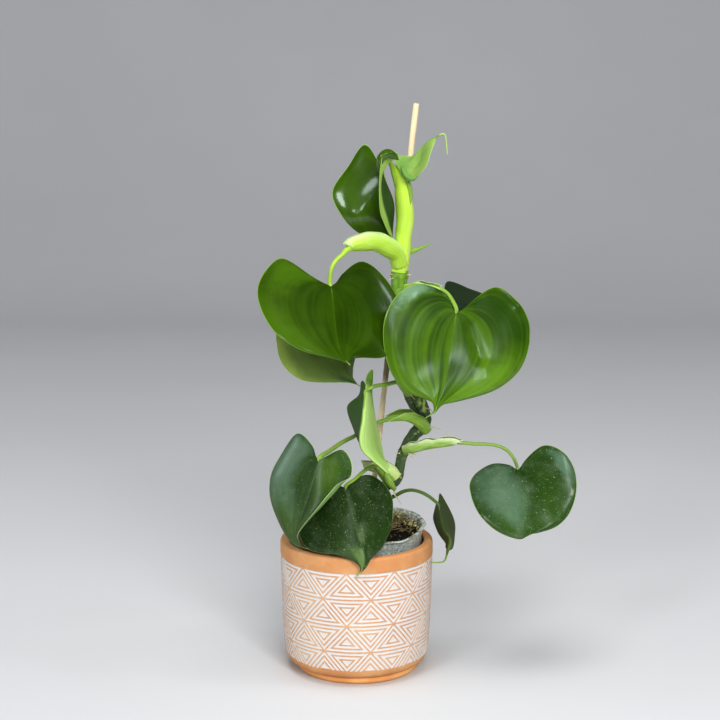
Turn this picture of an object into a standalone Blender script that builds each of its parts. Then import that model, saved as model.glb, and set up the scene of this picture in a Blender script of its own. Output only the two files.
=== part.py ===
"""Potted philodendron: a young climber in a thin plastic cup, set in a terracotta pot on a saucer.

Metres, +Z up. The pot's axis is the Z axis, the saucer stands on z = 0, +X is to the right of
someone in front of the plant and -Y is toward them. Places of leaves and stems are in millimetres
and turned into metres by MM. Most are written as seen(u, v, depth), a pixel of the photo and a
depth, both chosen by hand, and the others were set in millimetres on the plant itself.
"""

import math

import bmesh
import bpy
import numpy as np
from mathutils import Vector
from mathutils.geometry import delaunay_2d_cdt

MM = 0.001
GAP = 0.3 * MM                  # between two pieces that touch on the real thing

POT_RADIUS = 55.0 * MM          # outside, over the washed pattern
POT_TOP = 95.0 * MM
POT_WALL = 6.5 * MM
POT_FLOOR = 6.0 * MM
FOOT_RADIUS = 39.5 * MM
DRAIN_RADIUS = 5.0 * MM
POT_STEPS = 48

SAUCER_RADIUS = 44.5 * MM
SAUCER_HEIGHT = 5.3 * MM
SAUCER_FLOOR = 3.5 * MM
SAUCER_WALL = 3.3 * MM
SAUCER_SHIFT = 0.8 * MM         # the pot stands a little left of the saucer's middle

CUP_MOUTH = (12.0 * MM, 0.0, 103.7 * MM)
CUP_LEAN = (-0.07, -0.11)       # slope of the cup's axis in x and y, going up
CUP_LIP_RADIUS = 38.0 * MM
CUP_MOUTH_RADIUS = 35.2 * MM
CUP_BASE_RADIUS = 23.0 * MM
CUP_DEPTH = 91.6 * MM
CUP_WALL = 0.9 * MM
CUP_STEPS = 40

SOIL_DROP = 8.5 * MM            # soil below the cup's lip
SOIL_BUMP = 1.1 * MM

BLADE = 0.8 * MM                # thickness of a leaf blade
STALK_LEAD = 0.060              # a stalk's last bend, as a share of the leaf's length above the notch
STALK_REACH = 1.5               # its end above the notch, in millimetres
STALK_TAPER = 0.6               # a stalk's radius at its end, against its last listed radius

CAMERA_ACROSS = 2.5             # where the photo was taken from, in millimetres
CAMERA_BACK = 1182.0
CAMERA_UP = 435.0
CAMERA_DOWN = math.radians(10.1)
FOCAL = 85 / 36 * 720           # an 85 mm lens on a 36 mm frame, in pixels of the photo
MIDDLE = 360                    # the photo's middle pixel, across and down


def seen(u, v, depth, *radius):
    """Place in millimetres of what the photo shows at pixel (u, v), its depth chosen by hand.

    The ray from the camera through the pixel is followed until y is the depth. Then x and z are
    rounded to half a millimetre, which is as near as the photo can be read. A tube's radius is
    handed on.
    """
    across, down = (u - MIDDLE) / FOCAL, (v - MIDDLE) / FOCAL
    reach = (depth + CAMERA_BACK) / (math.cos(CAMERA_DOWN) - down * math.sin(CAMERA_DOWN))
    x = CAMERA_ACROSS + reach * across
    z = CAMERA_UP - reach * (math.sin(CAMERA_DOWN) + down * math.cos(CAMERA_DOWN))
    return (round(2 * x) / 2, depth, round(2 * z) / 2, *radius)


# Half of a flat leaf, from the notch at its stalk, over the lobe, to the drip tip. The first number
# is across and the second along, and the leaf's length without its drip tip is 1.
MARGIN = np.array([
    (0.028, 0.00), (0.075, -0.10), (0.17, -0.25), (0.36, -0.34), (0.56, -0.26), (0.68, -0.06),
    (0.70, 0.18), (0.61, 0.46), (0.42, 0.73), (0.20, 0.91), (0.07, 0.99), (0.025, 1.05), (0.0, 1.16),
])
MIDRIB_LANDMARKS = {
    "notch": (0, 0), "mid": (0, 0.5), "keel": (0, 0.78), "tip": (0, 1.0), "tail": (0, 1.08),
    "drip": (0, 1.16),
}
HALF_LANDMARKS = {
    "neck": (0.17, -0.25), "lobe": (0.36, -0.34), "shoulder": (0.56, -0.26), "side": (0.70, 0.12),
    "cheek": (0.61, 0.46), "jaw": (0.42, 0.73), "chin": (0.20, 0.91),
}
MARGIN_LENGTH = 2.4             # length of that half outline, on the same scale
CREASE = 0.07                   # half width of the fold along the midrib
CELL = 0.115                    # spacing of a blade's points
SMALL_CELL = 0.16               # the same on a small leaf

# Where each leaf's landmarks are on the plant. Left and right are those of a leaf whose tip hangs
# down with its upper face toward the reader.
LEAVES = {
    "leaf_left_broad": dict(
        notch=seen(330.7, 286.6, -26), mid=seen(335, 325, -49), tip=seen(345, 360, -66),
        drip=seen(350, 365, -70), left_neck=seen(307, 273, -24), left_lobe=seen(283, 258, -22),
        left_shoulder=seen(268, 267, -26), left_side=seen(258.5, 297, -38),
        left_cheek=seen(275, 331, -58), left_jaw=seen(302, 350, -65), left_chin=seen(328, 357, -68),
        right_neck=seen(343, 273, -18), right_lobe=seen(363, 261, -10),
        right_shoulder=seen(384, 276, -9), right_side=seen(401, 310, -17),
        right_cheek=seen(402, 340, -30), right_jaw=(19, -46, 235), right_chin=seen(358, 357.5, -61),
    ),
    "leaf_right_broad": dict(
        notch=seen(455.5, 313.5, -30), mid=seen(449, 358, -38), tip=seen(437, 404, -50),
        tail=seen(434, 412, -51), drip=seen(425.5, 418.3, -49), left_neck=seen(446, 294, -28),
        left_lobe=seen(421, 284, -32), left_shoulder=seen(400, 293, -36), left_side=(19, -43, 252.5),
        left_cheek=(23, -47.5, 227), left_jaw=(34, -49, 211.5), left_chin=seen(427, 399.5, -50),
        right_neck=seen(473, 301, -24), right_lobe=seen(497, 287, -18),
        right_shoulder=seen(519, 302, -16), right_side=seen(530.5, 335, -22),
        right_cheek=seen(522, 368, -30), right_jaw=seen(494, 391, -40), right_chin=seen(456, 402, -46),
    ),
    "leaf_low_right": dict(
        notch=seen(518, 470, -2), mid=seen(524, 502, -21), tip=seen(529.5, 534, -38),
        drip=seen(530, 535, -38.5), left_neck=seen(510, 465, 1), left_lobe=seen(493, 463.5, 2),
        left_shoulder=seen(476, 472, -2), left_side=seen(470.5, 491, -13),
        left_cheek=seen(480, 514, -27), left_jaw=seen(499, 531.5, -35), left_chin=seen(520, 539, -38),
        right_neck=seen(525.5, 459.5, 3), right_lobe=seen(544, 445, 10),
        right_shoulder=seen(564, 452, 10), right_side=seen(576.5, 483, -1),
        right_cheek=seen(571, 511, -17), right_jaw=seen(556, 526.5, -27),
        right_chin=seen(537, 533, -36),
    ),
    "leaf_low_left": dict(
        notch=seen(318, 461, -52), mid=seen(306, 505, -50), tip=seen(302, 546, -42),
        drip=seen(311, 549, -40), left_neck=seen(312, 446, -46), left_lobe=seen(297, 433, -36),
        left_shoulder=seen(281, 453, -28), left_side=seen(268.5, 485, -26),
        left_cheek=seen(273, 512, -30), left_jaw=seen(284, 534, -34), left_chin=seen(294, 545, -38),
        right_neck=seen(328, 455, -57), right_lobe=seen(342, 451, -64),
        right_shoulder=seen(351, 463, -70), right_side=seen(346, 487, -74),
        right_cheek=seen(326, 508, -72), right_jaw=seen(309, 523, -62), right_chin=seen(298, 537, -49),
    ),
    "leaf_low_front": dict(
        notch=seen(346, 489, -42), mid=seen(356, 528, -52), tip=seen(364, 567, -60),
        drip=seen(356, 577, -61), left_lobe=seen(324, 488, -36), left_side=seen(304, 522, -36),
        left_cheek=seen(316, 548, -46), left_jaw=seen(333, 554, -54), left_chin=seen(352, 560, -59),
        right_neck=(-1.5, -36.5, 147), right_lobe=seen(369, 475, -32),
        right_shoulder=seen(385, 484, -28), right_side=seen(393.5, 507, -29),
        right_cheek=seen(391, 530, -38), right_jaw=seen(382, 548, -48), right_chin=seen(370, 560, -57),
    ),
    "leaf_top_folded": dict(
        notch=seen(382, 171, -2), mid=seen(393.5, 204, -2), tip=(24, 4, 309.5), drip=(25, 5, 305),
        left_neck=seen(376.5, 160, 2), left_lobe=seen(364, 144, 6), left_shoulder=seen(349.5, 164.5, 4),
        left_side=seen(332.7, 192, -2), left_cheek=seen(340, 213, -6), left_jaw=seen(353, 229, -6),
        left_chin=(11, 1, 310), right_neck=seen(387, 161, -6), right_lobe=seen(398, 154, -10),
        right_shoulder=seen(384, 151, -22), right_side=seen(378.5, 203, -36),
        right_cheek=(17.5, -22, 325), right_jaw=(21.5, -2.5, 315),
    ),
    "leaf_hanging": dict(
        notch=seen(366, 387, -42), mid=seen(360.5, 424, -56), keel=seen(364, 452, -55),
        tip=seen(386, 472, -50), drip=seen(395, 480, -44), left_neck=seen(363, 381, -34),
        left_lobe=seen(361, 384, -28), left_shoulder=seen(361, 394, -22), left_side=seen(348, 407, -16),
        left_cheek=seen(353, 428, -22), left_jaw=seen(360, 444, -32), left_chin=(12, -44, 162),
        right_neck=seen(368, 378, -36), right_lobe=seen(373, 369.5, -30),
        right_shoulder=seen(373, 384, -26), right_side=seen(376, 416, -26),
        right_cheek=seen(381, 444, -30), right_jaw=(19.5, -36, 160.5), right_chin=(22.5, -44, 158),
    ),
    "leaf_under": dict(
        notch=seen(318, 322, -6), mid=seen(337, 351, -14), tip=(-2.5, -21, 213), drip=(2.5, -22.5, 210),
        left_lobe=seen(292, 316, -2), left_side=seen(277.5, 345, -14), left_cheek=seen(282.5, 364, -22),
        left_jaw=seen(303, 380.2, -25), left_chin=seen(334, 382.5, -25), right_lobe=seen(342, 306, 8),
        right_side=seen(362, 334, 20), right_cheek=seen(356, 356, 14), right_jaw=seen(353, 370, 0),
        right_chin=seen(353, 378, -14),
    ),
    "leaf_behind": dict(
        notch=seen(442, 318, 16), mid=seen(451, 350, 19), tip=seen(462, 384, 26),
        drip=seen(463, 390, 27), left_lobe=seen(426, 298, 8), left_side=seen(410, 328, 13),
        left_cheek=seen(424, 364, 20), right_neck=seen(444, 300, 22), right_lobe=seen(447.5, 281.5, 28),
        right_shoulder=seen(468, 288, 34), right_side=seen(500, 306, 40),
        right_cheek=seen(505, 342, 36), right_jaw=seen(488, 370, 30),
    ),
    "leaf_small_right": dict(
        notch=seen(438.6, 504.5, -14), mid=seen(444, 530, -27), tip=seen(448, 550, -24),
        tail=seen(444, 561.5, -22), drip=seen(430.5, 562.4, -19), left_lobe=seen(436, 503, -4),
        left_shoulder=seen(434.5, 511, 2), left_side=seen(433.5, 520, 4), left_cheek=seen(439, 534, -2),
        left_jaw=seen(445.5, 543, -14), left_chin=(63.2, -20, 93.5), right_neck=seen(439, 499, -9),
        right_lobe=seen(440.7, 493.3, -2), right_shoulder=seen(446.5, 503, 6),
        right_side=seen(455.2, 523, 6), right_cheek=seen(454.5, 538, -4),
        right_jaw=seen(452.5, 548, -16), right_chin=(66.5, -20, 91.5),
    ),
    "leaf_unfurling": dict(
        notch=seen(405, 177, -6), mid=seen(421, 159, -3), tip=seen(434.5, 139, -12),
        tail=seen(444.5, 133.5, -12), drip=seen(446, 154, -11), left_neck=seen(399, 170, -7),
        left_lobe=seen(394.5, 160, -2), left_shoulder=seen(402, 155.8, 4),
        left_side=seen(413, 156.5, 2), left_cheek=(44.5, -3, 374), left_jaw=(49, -8, 378),
        right_neck=seen(407.5, 180.5, -9), right_lobe=seen(412, 180.5, -13),
        right_shoulder=seen(418, 175, -15), right_side=seen(426.5, 166, -16),
        right_cheek=seen(430.5, 154, -15), right_jaw=seen(433, 146, -14),
    ),
}
SMALL_LEAVES = ("leaf_small_right", "leaf_unfurling")
# Leaves whose halves meet in the notch, as they fold back along the midrib.
FOLDED_LEAVES = ("leaf_hanging", "leaf_small_right", "leaf_top_folded", "leaf_unfurling")
# Leaves whose stalk comes from the side that their fold shows.
STALKED_FROM_OUTSIDE = ("leaf_hanging", "leaf_small_right")

# Each tube of the stem as places (x, y, z, radius) that one smooth curve runs through, and the
# number of rings along it. The stem stands in its hole in the soil.
STEM_FOOT = (6.5, 3.5, 73, 3.2)
TUBES = {
    "stem": (34, [
        STEM_FOOT, (6.5, 3.5, 97, 3.2), seen(368, 520, 2, 3.4), seen(375, 498, -1, 3.6),
        seen(386, 486, -4, 4), seen(395, 480, -5, 4.2), seen(399.5, 469, -4, 3.8),
        seen(401.5, 458, -3, 3.6), seen(406, 446, -1, 4), seen(415, 434, 0, 4.5),
        seen(423, 425, 1, 4.8), seen(423.5, 415, 1, 5.2), seen(417, 402, 0, 6.9),
        seen(412, 390, 0, 6.9), seen(405, 370, 0, 6), seen(400, 340, 0, 5.8), seen(398.5, 300, 0, 5.8),
        seen(399, 285, 0, 5.7), seen(400, 268, 0, 5.9),
    ]),
    "crown": (12, [
        seen(399.5, 272, 0, 6.1), seen(400.5, 262, 0, 6.2), seen(402, 250, 0, 6.2),
        seen(403.5, 235, -1, 5.9), seen(405, 215, -1, 6.2), seen(403, 195, -1, 5.8),
        (31.5, -1, 351, 5.0),
    ]),
    "young_stalk": (5, [
        (31.5, -1, 346, 2.8), (32, -2.5, 350.5, 1.8), (33.2, -5.3, 352.8, 0.8),
    ]),
    "spike": (6, [
        seen(406, 251, 0, 3.4), seen(413, 250.5, 0, 2.4), seen(421, 248, -1, 1.3),
        seen(431, 244, -2, 0.45),
    ]),
    "husk": (8, [
        seen(398, 476, -5, 5.2), seen(392, 470, -6, 5), seen(382, 466, -8, 3.4),
        seen(366, 463.5, -10, 2), seen(357, 463, -11, 1),
    ]),
    "aerial_root": (6, [
        seen(392, 482, -6, 1.3), seen(393.8, 490, -8, 0.9), seen(396.5, 497, -10, 0.8),
        seen(401.5, 504, -9, 0.6),
    ]),
}
# The stalks, from inside the stem to just short of the notch, where each leaf's own surface gives
# the last two places.
STALKS = {
    "leaf_left_broad": (18, [
        seen(400, 266, -1, 5.6), seen(396.5, 254, -3, 6.2), seen(387, 246, -8, 6.8),
        seen(375, 241.5, -13, 6.6), seen(362, 242, -18, 6), seen(352, 245, -21, 4.6),
        seen(346.5, 249, -23, 2.4), seen(342.5, 254.5, -24, 1.6), seen(337.6, 259.3, -25, 1.5),
        seen(332.1, 266.9, -27, 1.4),
    ]),
    "leaf_right_broad": (16, [
        seen(400, 296, -2, 4.8), seen(405, 292, -8, 4.4), seen(412, 289, -13, 4),
        seen(420, 286.8, -17, 3.8), seen(430, 286.5, -21, 3.4), seen(438, 288.5, -23, 2.8),
        seen(444, 291, -24, 1.8), seen(449, 295.5, -25, 1.5),
    ]),
    "leaf_top_folded": (10, [
        seen(398, 188, -2, 2.4), seen(394.5, 175, -2, 2.2), seen(391, 164, -2, 1.8),
        seen(387.5, 160, -2, 1.6),
    ]),
    "leaf_hanging": (11, [
        seen(411, 391, -3, 4.6), seen(405, 385, -6, 4), seen(399.5, 381.5, -11, 2.2),
        seen(392, 382.5, -18, 1.6), seen(386, 384.3, -24, 1.6), (14.5, -33, 212.5, 1.4),
        (10, -43.5, 213, 1.3),
    ]),
    "leaf_low_left": (22, [
        seen(426, 430, -1, 3.6), seen(422.5, 424, -5, 4.2), seen(415.5, 417.8, -9, 4.3),
        seen(406, 414.7, -12, 4.2), seen(397.4, 415.2, -12, 3.6), seen(390.5, 417.8, -12, 2.6),
        seen(386, 419.5, -12, 1.7), seen(378, 422.5, -11, 1.5), seen(366, 430, -11, 1.5),
        seen(354.5, 436, -16, 1.5), seen(341.8, 442.6, -27, 1.5), seen(330.4, 450.4, -39, 1.5),
    ]),
    "leaf_low_right": (22, [
        seen(404, 449, -4, 3.2), seen(413.6, 447, -8, 3.9), seen(423.6, 444.5, -10, 3.6),
        seen(437.9, 442.4, -12, 3.4), seen(450, 441.5, -13, 3), seen(456.4, 442.7, -14, 1.5),
        seen(466.4, 442.9, -14, 1.3), seen(475, 443.7, -14, 1.25), seen(487.9, 444.2, -13, 1.2),
        seen(497.9, 446, -12, 1.2), seen(507.9, 450.9, -10, 1.2), seen(513.6, 457.9, -7, 1.2),
    ]),
    "leaf_low_front": (14, [
        seen(389, 481, -6, 3.2), seen(383.5, 474.5, -10, 3), seen(378, 468.5, -17, 2),
        seen(373, 466, -23, 1.4), seen(367, 469.3, -29, 1.3), (3.5, -35, 151, 1.3), (-1, -40, 148, 1.2),
    ]),
    "leaf_small_right": (12, [
        (13.5, -1, 123, 2.2), seen(385, 500, -1, 1.7), seen(394, 496.2, -4, 1.4),
        seen(403.6, 491.4, -8, 1.3), seen(412, 490.2, -12, 1.2), seen(420.7, 491.8, -14, 1.2),
        seen(429.3, 496.8, -15, 1.2),
    ]),
    "leaf_under": (14, [
        (30.5, -2, 238, 3.0), (22, -4, 248, 2.2), (8, -6, 256, 1.6), (-8, -6, 259, 1.5),
        (-20, -6, 258, 1.4),
    ]),
    "leaf_behind": (10, [
        (31.5, 2, 244, 4.2), (38, 0, 251, 2.6), (46, 1, 258, 1.8), (56, 7, 263.5, 1.5),
    ]),
}

STAKE_TOP = seen(416.3, 103.5, 8.5)
STAKE_LOW = seen(379.6, 432, 11)     # another place on the same straight line
STAKE_FOOT = 70.0               # height of its end in the soil
STAKE_RADIUS = 2.15


def material(name, colour, roughness):
    """A plain finish: base colour and roughness."""
    made = bpy.data.materials.new(name)
    made.use_nodes = True
    shader = made.node_tree.nodes["Principled BSDF"]
    shader.inputs["Base Color"].default_value = (*colour, 1.0)
    shader.inputs["Roughness"].default_value = roughness
    shader.inputs["Metallic"].default_value = 0.0
    return made


def add(name, data, finish=None):
    """Link an object with this mesh or curve to the scene."""
    thing = bpy.data.objects.new(name, data)
    bpy.context.scene.collection.objects.link(thing)
    if finish:
        data.materials.append(finish)
    return thing


def through(places, share):
    """Points of the smooth curve through the places, at shares 0 to 1 of its length."""
    places = np.asarray(places, float)
    knots = np.r_[0, np.cumsum(np.linalg.norm(np.diff(places, axis=0), axis=1) ** 0.5)]
    slopes = np.gradient(places, knots, axis=0)

    def at(position):
        left = np.clip(np.searchsorted(knots, position, side="right") - 1, 0, len(knots) - 2)
        span = (knots[left + 1] - knots[left])[:, None]
        u = (position - knots[left])[:, None] / span
        rise = u * u * (3 - 2 * u)
        enter = u * (1 - u) ** 2 * span * slopes[left]
        leave = u * u * (1 - u) * span * slopes[left + 1]
        return (1 - rise) * places[left] + rise * places[left + 1] + enter - leave

    fine = np.linspace(0, knots[-1], 400)
    steps = np.linalg.norm(np.diff(at(fine), axis=0), axis=1)
    length = np.r_[0, np.cumsum(steps)]
    return at(np.interp(np.asarray(share) * length[-1], length, fine))


def turned(name, profile, steps, finish, ring=False):
    """Profile (radius, height) turned about Z. A ring's profile closes on itself off the axis."""
    mesh = bmesh.new()
    points = [mesh.verts.new((radius, 0, height)) for radius, height in profile]
    edges = [mesh.edges.new(pair) for pair in zip(points, points[1:])]
    if ring:
        edges.append(mesh.edges.new((points[-1], points[0])))
    bmesh.ops.spin(
        mesh, geom=points + edges, cent=(0, 0, 0), axis=(0, 0, 1), angle=2 * math.pi,
        steps=steps, use_merge=True,
    )
    bmesh.ops.remove_doubles(mesh, verts=mesh.verts, dist=0.001 * MM)
    bmesh.ops.recalc_face_normals(mesh, faces=mesh.faces)
    data = bpy.data.meshes.new(name)
    mesh.to_mesh(data)
    mesh.free()
    data.shade_smooth()
    data.set_sharp_from_angle(angle=math.radians(35))
    return add(name, data, finish)


def leaf_bend(landmarks):
    """Thin plate spline from the flat leaf to the plant, with a crease along the midrib allowed.

    Each coordinate is a sum of r * r * log(r) about the landmarks plus a plane and the crease's
    distance from the midrib, solved so that every landmark lands where the table puts it.
    """
    flat = dict(MIDRIB_LANDMARKS)
    for part, (across, along) in HALF_LANDMARKS.items():
        flat["left_" + part] = (-across, along)
        flat["right_" + part] = (across, along)
    centres = np.array([flat[name] for name in landmarks], float)
    targets = np.array(list(landmarks.values()), float) * MM

    def terms(x, y):
        square = (x[..., None] - centres[:, 0]) ** 2 + (y[..., None] - centres[:, 1]) ** 2
        bumps = 0.5 * square * np.log(square + 1e-12)
        crease = np.sqrt(x * x + CREASE * CREASE) - CREASE
        return np.concatenate([bumps, np.stack([np.ones_like(x), x, y, crease], -1)], -1)

    count = len(centres)
    rows = terms(centres[:, 0], centres[:, 1])
    matrix = np.zeros((count + 4, count + 4))
    matrix[:count] = rows
    matrix[count:, :count] = rows[:, count:].T
    matrix[:count, :count] += 1e-4 * np.eye(count)
    weights = np.linalg.solve(matrix, np.vstack([targets, np.zeros((4, 3))]))
    return lambda x, y: terms(np.asarray(x, float), np.asarray(y, float)) @ weights


def within(points, loop):
    """Which points lie inside the closed loop: a ray to the right crosses it an odd number of times."""
    x, y = points[:, :1], points[:, 1:]
    start, end = loop, np.roll(loop, -1, axis=0)
    spans = (start[:, 1] > y) != (end[:, 1] > y)
    rise = np.where(end[:, 1] == start[:, 1], 1.0, end[:, 1] - start[:, 1])
    crossing = start[:, 0] + (y - start[:, 1]) / rise * (end[:, 0] - start[:, 0])
    return (spans & (x < crossing)).sum(1) % 2 == 1


def flat_leaf(name):
    """Triangles of a flat leaf: points round its outline and a staggered net of points inside it."""
    cell = SMALL_CELL if name in SMALL_LEAVES else CELL
    half = through(MARGIN, np.linspace(0, 1, round(MARGIN_LENGTH / cell) + 1))
    if name in FOLDED_LEAVES:
        half[0] = (0, 0)
    mirrored = half[::-1][1:len(half) - (name in FOLDED_LEAVES)] * (-1, 1)
    loop = np.vstack([half, mirrored])
    columns = np.arange(-6, 7)
    net = np.array([
        (column * cell, (row + 0.5 * (column % 2)) * cell) for column in columns for row in range(-4, 12)
    ])
    net = net[within(net, loop)]
    closest = np.linalg.norm(net[:, None] - loop[None], axis=2).min(1)
    net = net[closest > 0.55 * cell]
    flat = [tuple(point) for point in np.vstack([loop, net])]
    ring = list(range(len(loop)))
    corners, _, faces, *_ = delaunay_2d_cdt([Vector(point) for point in flat], [], [ring], 1, 1e-6)
    return np.array([tuple(corner) for corner in corners]), faces


def blade(name, finish):
    """A leaf blade: the flat leaf's triangles bent onto the plant and given a thickness."""
    flat, faces = flat_leaf(name)
    points = leaf_bend(LEAVES[name])(flat[:, 0], flat[:, 1])
    data = bpy.data.meshes.new(name)
    data.from_pydata(points.tolist(), [], faces)
    data.shade_smooth()
    made = add(name, data, finish)
    wall = made.modifiers.new("thickness", "SOLIDIFY")
    wall.thickness = BLADE
    wall.offset = 0.0
    return made


def tube(name, places, rings, around=2):
    """A round tube as a mesh: places (x, y, z, radius) in millimetres on one smooth curve."""
    curve = bpy.data.curves.new(name, "CURVE")
    curve.dimensions = "3D"
    curve.bevel_depth = 1.0
    curve.bevel_resolution = around
    curve.use_fill_caps = True
    spline = curve.splines.new("POLY")
    points = through(places, np.linspace(0, 1, rings)) * MM
    spline.points.add(rings - 1)
    for point, (x, y, z, radius) in zip(spline.points, points):
        point.co = (x, y, z, 1)
        point.radius = radius
    guide = add(name + "_curve", curve)
    bpy.context.view_layer.update()
    data = bpy.data.meshes.new_from_object(guide.evaluated_get(bpy.context.evaluated_depsgraph_get()))
    bpy.data.objects.remove(guide)
    mesh = bmesh.new()
    mesh.from_mesh(data)
    bmesh.ops.remove_doubles(mesh, verts=mesh.verts, dist=0.001 * MM)
    mesh.to_mesh(data)
    mesh.free()
    return add(name, data)


def stalk_end(name, radius):
    """Last places of a stalk: down the notch between the lobes, or onto the back of a folded leaf."""
    surface = leaf_bend(LEAVES[name])
    tapered = STALK_TAPER * radius
    if name not in STALKED_FROM_OUTSIDE:
        lead, notch = surface([0, 0], [-STALK_LEAD, 0]) / MM
        end = notch + (lead - notch) / np.linalg.norm(lead - notch) * STALK_REACH
        return [(*lead, radius), (*end, tapered)]
    notch, along, across = surface([0, 0, 0.01], [0.02, 0.03, 0.02]) / MM
    outward = np.cross(along - notch, across - notch)
    end = notch + outward / np.linalg.norm(outward) * ((BLADE / 2 + GAP) / MM + radius)
    return [(*end, tapered)]


def stem(finish):
    """Stem, crown, stalks and the small growths, joined in one Boolean union."""
    tubes = {}
    for name, (rings, places) in TUBES.items():
        tubes[name] = tube(name, places, rings, around=3 if name in ("stem", "crown") else 2)
    for name, (rings, places) in STALKS.items():
        whole = places + stalk_end(name, places[-1][3])
        tubes["stalk_" + name] = tube("stalk_" + name, whole, rings)
    body = tubes.pop("stem")
    growths = bpy.data.collections.new("growths")
    for thing in tubes.values():
        growths.objects.link(thing)
    union = body.modifiers.new("union", "BOOLEAN")
    union.operation = "UNION"
    union.operand_type = "COLLECTION"
    union.collection = growths
    union.solver = "EXACT"
    bpy.context.view_layer.update()
    joined = bpy.data.meshes.new_from_object(body.evaluated_get(bpy.context.evaluated_depsgraph_get()))
    body.modifiers.clear()
    body.data = joined
    for thing in tubes.values():
        bpy.data.objects.remove(thing)
    bpy.data.collections.remove(growths)
    joined.materials.clear()
    joined.materials.append(finish)
    joined.shade_smooth()
    return body


def saucer(finish):
    """Low dish, solid underneath."""
    inside = SAUCER_RADIUS - SAUCER_WALL
    profile = [
        (0, 0), (SAUCER_RADIUS - 3 * MM, 0), (SAUCER_RADIUS - 0.9 * MM, 0.8 * MM),
        (SAUCER_RADIUS, 2.6 * MM), (SAUCER_RADIUS, SAUCER_HEIGHT - 0.7 * MM),
        (SAUCER_RADIUS - 0.7 * MM, SAUCER_HEIGHT), (inside + 0.7 * MM, SAUCER_HEIGHT),
        (inside, SAUCER_HEIGHT - 0.6 * MM), (inside - 0.5 * MM, SAUCER_FLOOR), (0, SAUCER_FLOOR),
    ]
    made = turned("saucer", profile, 40, finish)
    made.location.x = SAUCER_SHIFT
    return made


def pot(finish):
    """Straight pot with a rounded lip, a foot in the saucer and a drain hole."""
    foot = SAUCER_FLOOR + GAP
    floor = foot + POT_FLOOR
    belly = SAUCER_HEIGHT + 0.4 * MM
    inside = POT_RADIUS - POT_WALL
    profile = [
        (DRAIN_RADIUS, foot), (FOOT_RADIUS - 0.8 * MM, foot), (FOOT_RADIUS, foot + 0.8 * MM),
        (FOOT_RADIUS, belly), (POT_RADIUS - 9.5 * MM, belly), (POT_RADIUS - 6 * MM, 7.2 * MM),
        (POT_RADIUS - 4 * MM, 9.4 * MM), (POT_RADIUS - 3 * MM, 12.5 * MM),
        (POT_RADIUS - 1.7 * MM, 28 * MM), (POT_RADIUS - 0.6 * MM, 60 * MM),
        (POT_RADIUS, 84.2 * MM), (POT_RADIUS, POT_TOP - 2.2 * MM),
        (POT_RADIUS - 0.7 * MM, POT_TOP - 0.6 * MM), (POT_RADIUS - 2.2 * MM, POT_TOP),
        (inside + 1.5 * MM, POT_TOP), (inside + 0.4 * MM, POT_TOP - 0.6 * MM),
        (inside, POT_TOP - 2 * MM), (inside - 1 * MM, 50 * MM), (inside - 3 * MM, floor + 4 * MM),
        (inside - 5 * MM, floor + 0.8 * MM), (inside - 7 * MM, floor), (DRAIN_RADIUS, floor),
    ]
    return turned("pot", profile, POT_STEPS, finish, ring=True)


def lean(thing):
    """Set a piece of the cup on the cup's leaning axis, its mouth's middle at CUP_MOUTH."""
    slope = math.hypot(*CUP_LEAN)
    thing.rotation_mode = "AXIS_ANGLE"
    thing.rotation_axis_angle = (math.atan(slope), -CUP_LEAN[1] / slope, CUP_LEAN[0] / slope, 0)
    thing.location = CUP_MOUTH


def cup_radius(depth):
    """Inner radius of the cup at this depth below its lip."""
    share = depth / CUP_DEPTH
    return CUP_MOUTH_RADIUS + (CUP_BASE_RADIUS - CUP_MOUTH_RADIUS) * share - CUP_WALL


def nursery_pot(finish):
    """Thin tapered cup with a rolled lip."""
    low = CUP_DEPTH - CUP_WALL
    profile = [
        (0, -CUP_DEPTH), (CUP_BASE_RADIUS - 1.5 * MM, -CUP_DEPTH),
        (CUP_BASE_RADIUS, -CUP_DEPTH + 1.5 * MM), (CUP_MOUTH_RADIUS, -3 * MM),
        (CUP_LIP_RADIUS - 0.3 * MM, -1.6 * MM), (CUP_LIP_RADIUS, -0.8 * MM),
        (CUP_LIP_RADIUS - 0.4 * MM, 0), (CUP_MOUTH_RADIUS - 0.1 * MM, -0.8 * MM),
        (cup_radius(3.2 * MM), -3.2 * MM), (cup_radius(low) - 0.6 * MM, -low), (0, -low),
    ]
    made = turned("nursery_pot", profile, CUP_STEPS, finish)
    lean(made)
    return made


def soil_height(x, y):
    """Crumbly top of the soil, above its mean level: two crossed waves."""
    waves = math.sin(x / (5.1 * MM) + 1.0) * math.cos(y / (4.3 * MM)) + 0.6 * math.sin(y / (7.7 * MM) + 2.0)
    return SOIL_BUMP * waves


def plain_hole(thing, centre, low, radius):
    """Cut a round hole with a vertical wall, from its floor upward through the piece."""
    bpy.ops.mesh.primitive_cone_add(
        vertices=12, radius1=radius, radius2=radius, depth=60 * MM,
        location=(centre[0], centre[1], low + 30 * MM),
    )
    cutter = bpy.context.object
    cut = thing.modifiers.new("hole", "BOOLEAN")
    cut.operation = "DIFFERENCE"
    cut.object = cutter
    cut.solver = "EXACT"
    cutter.hide_render = True
    cutter.display_type = "WIRE"
    return cutter


def stake_place(height):
    """Place of the stake's middle at this height, in millimetres."""
    top, low = np.array(STAKE_TOP), np.array(STAKE_LOW)
    return low + (top - low) * (height - low[2]) / (top[2] - low[2])


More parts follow.
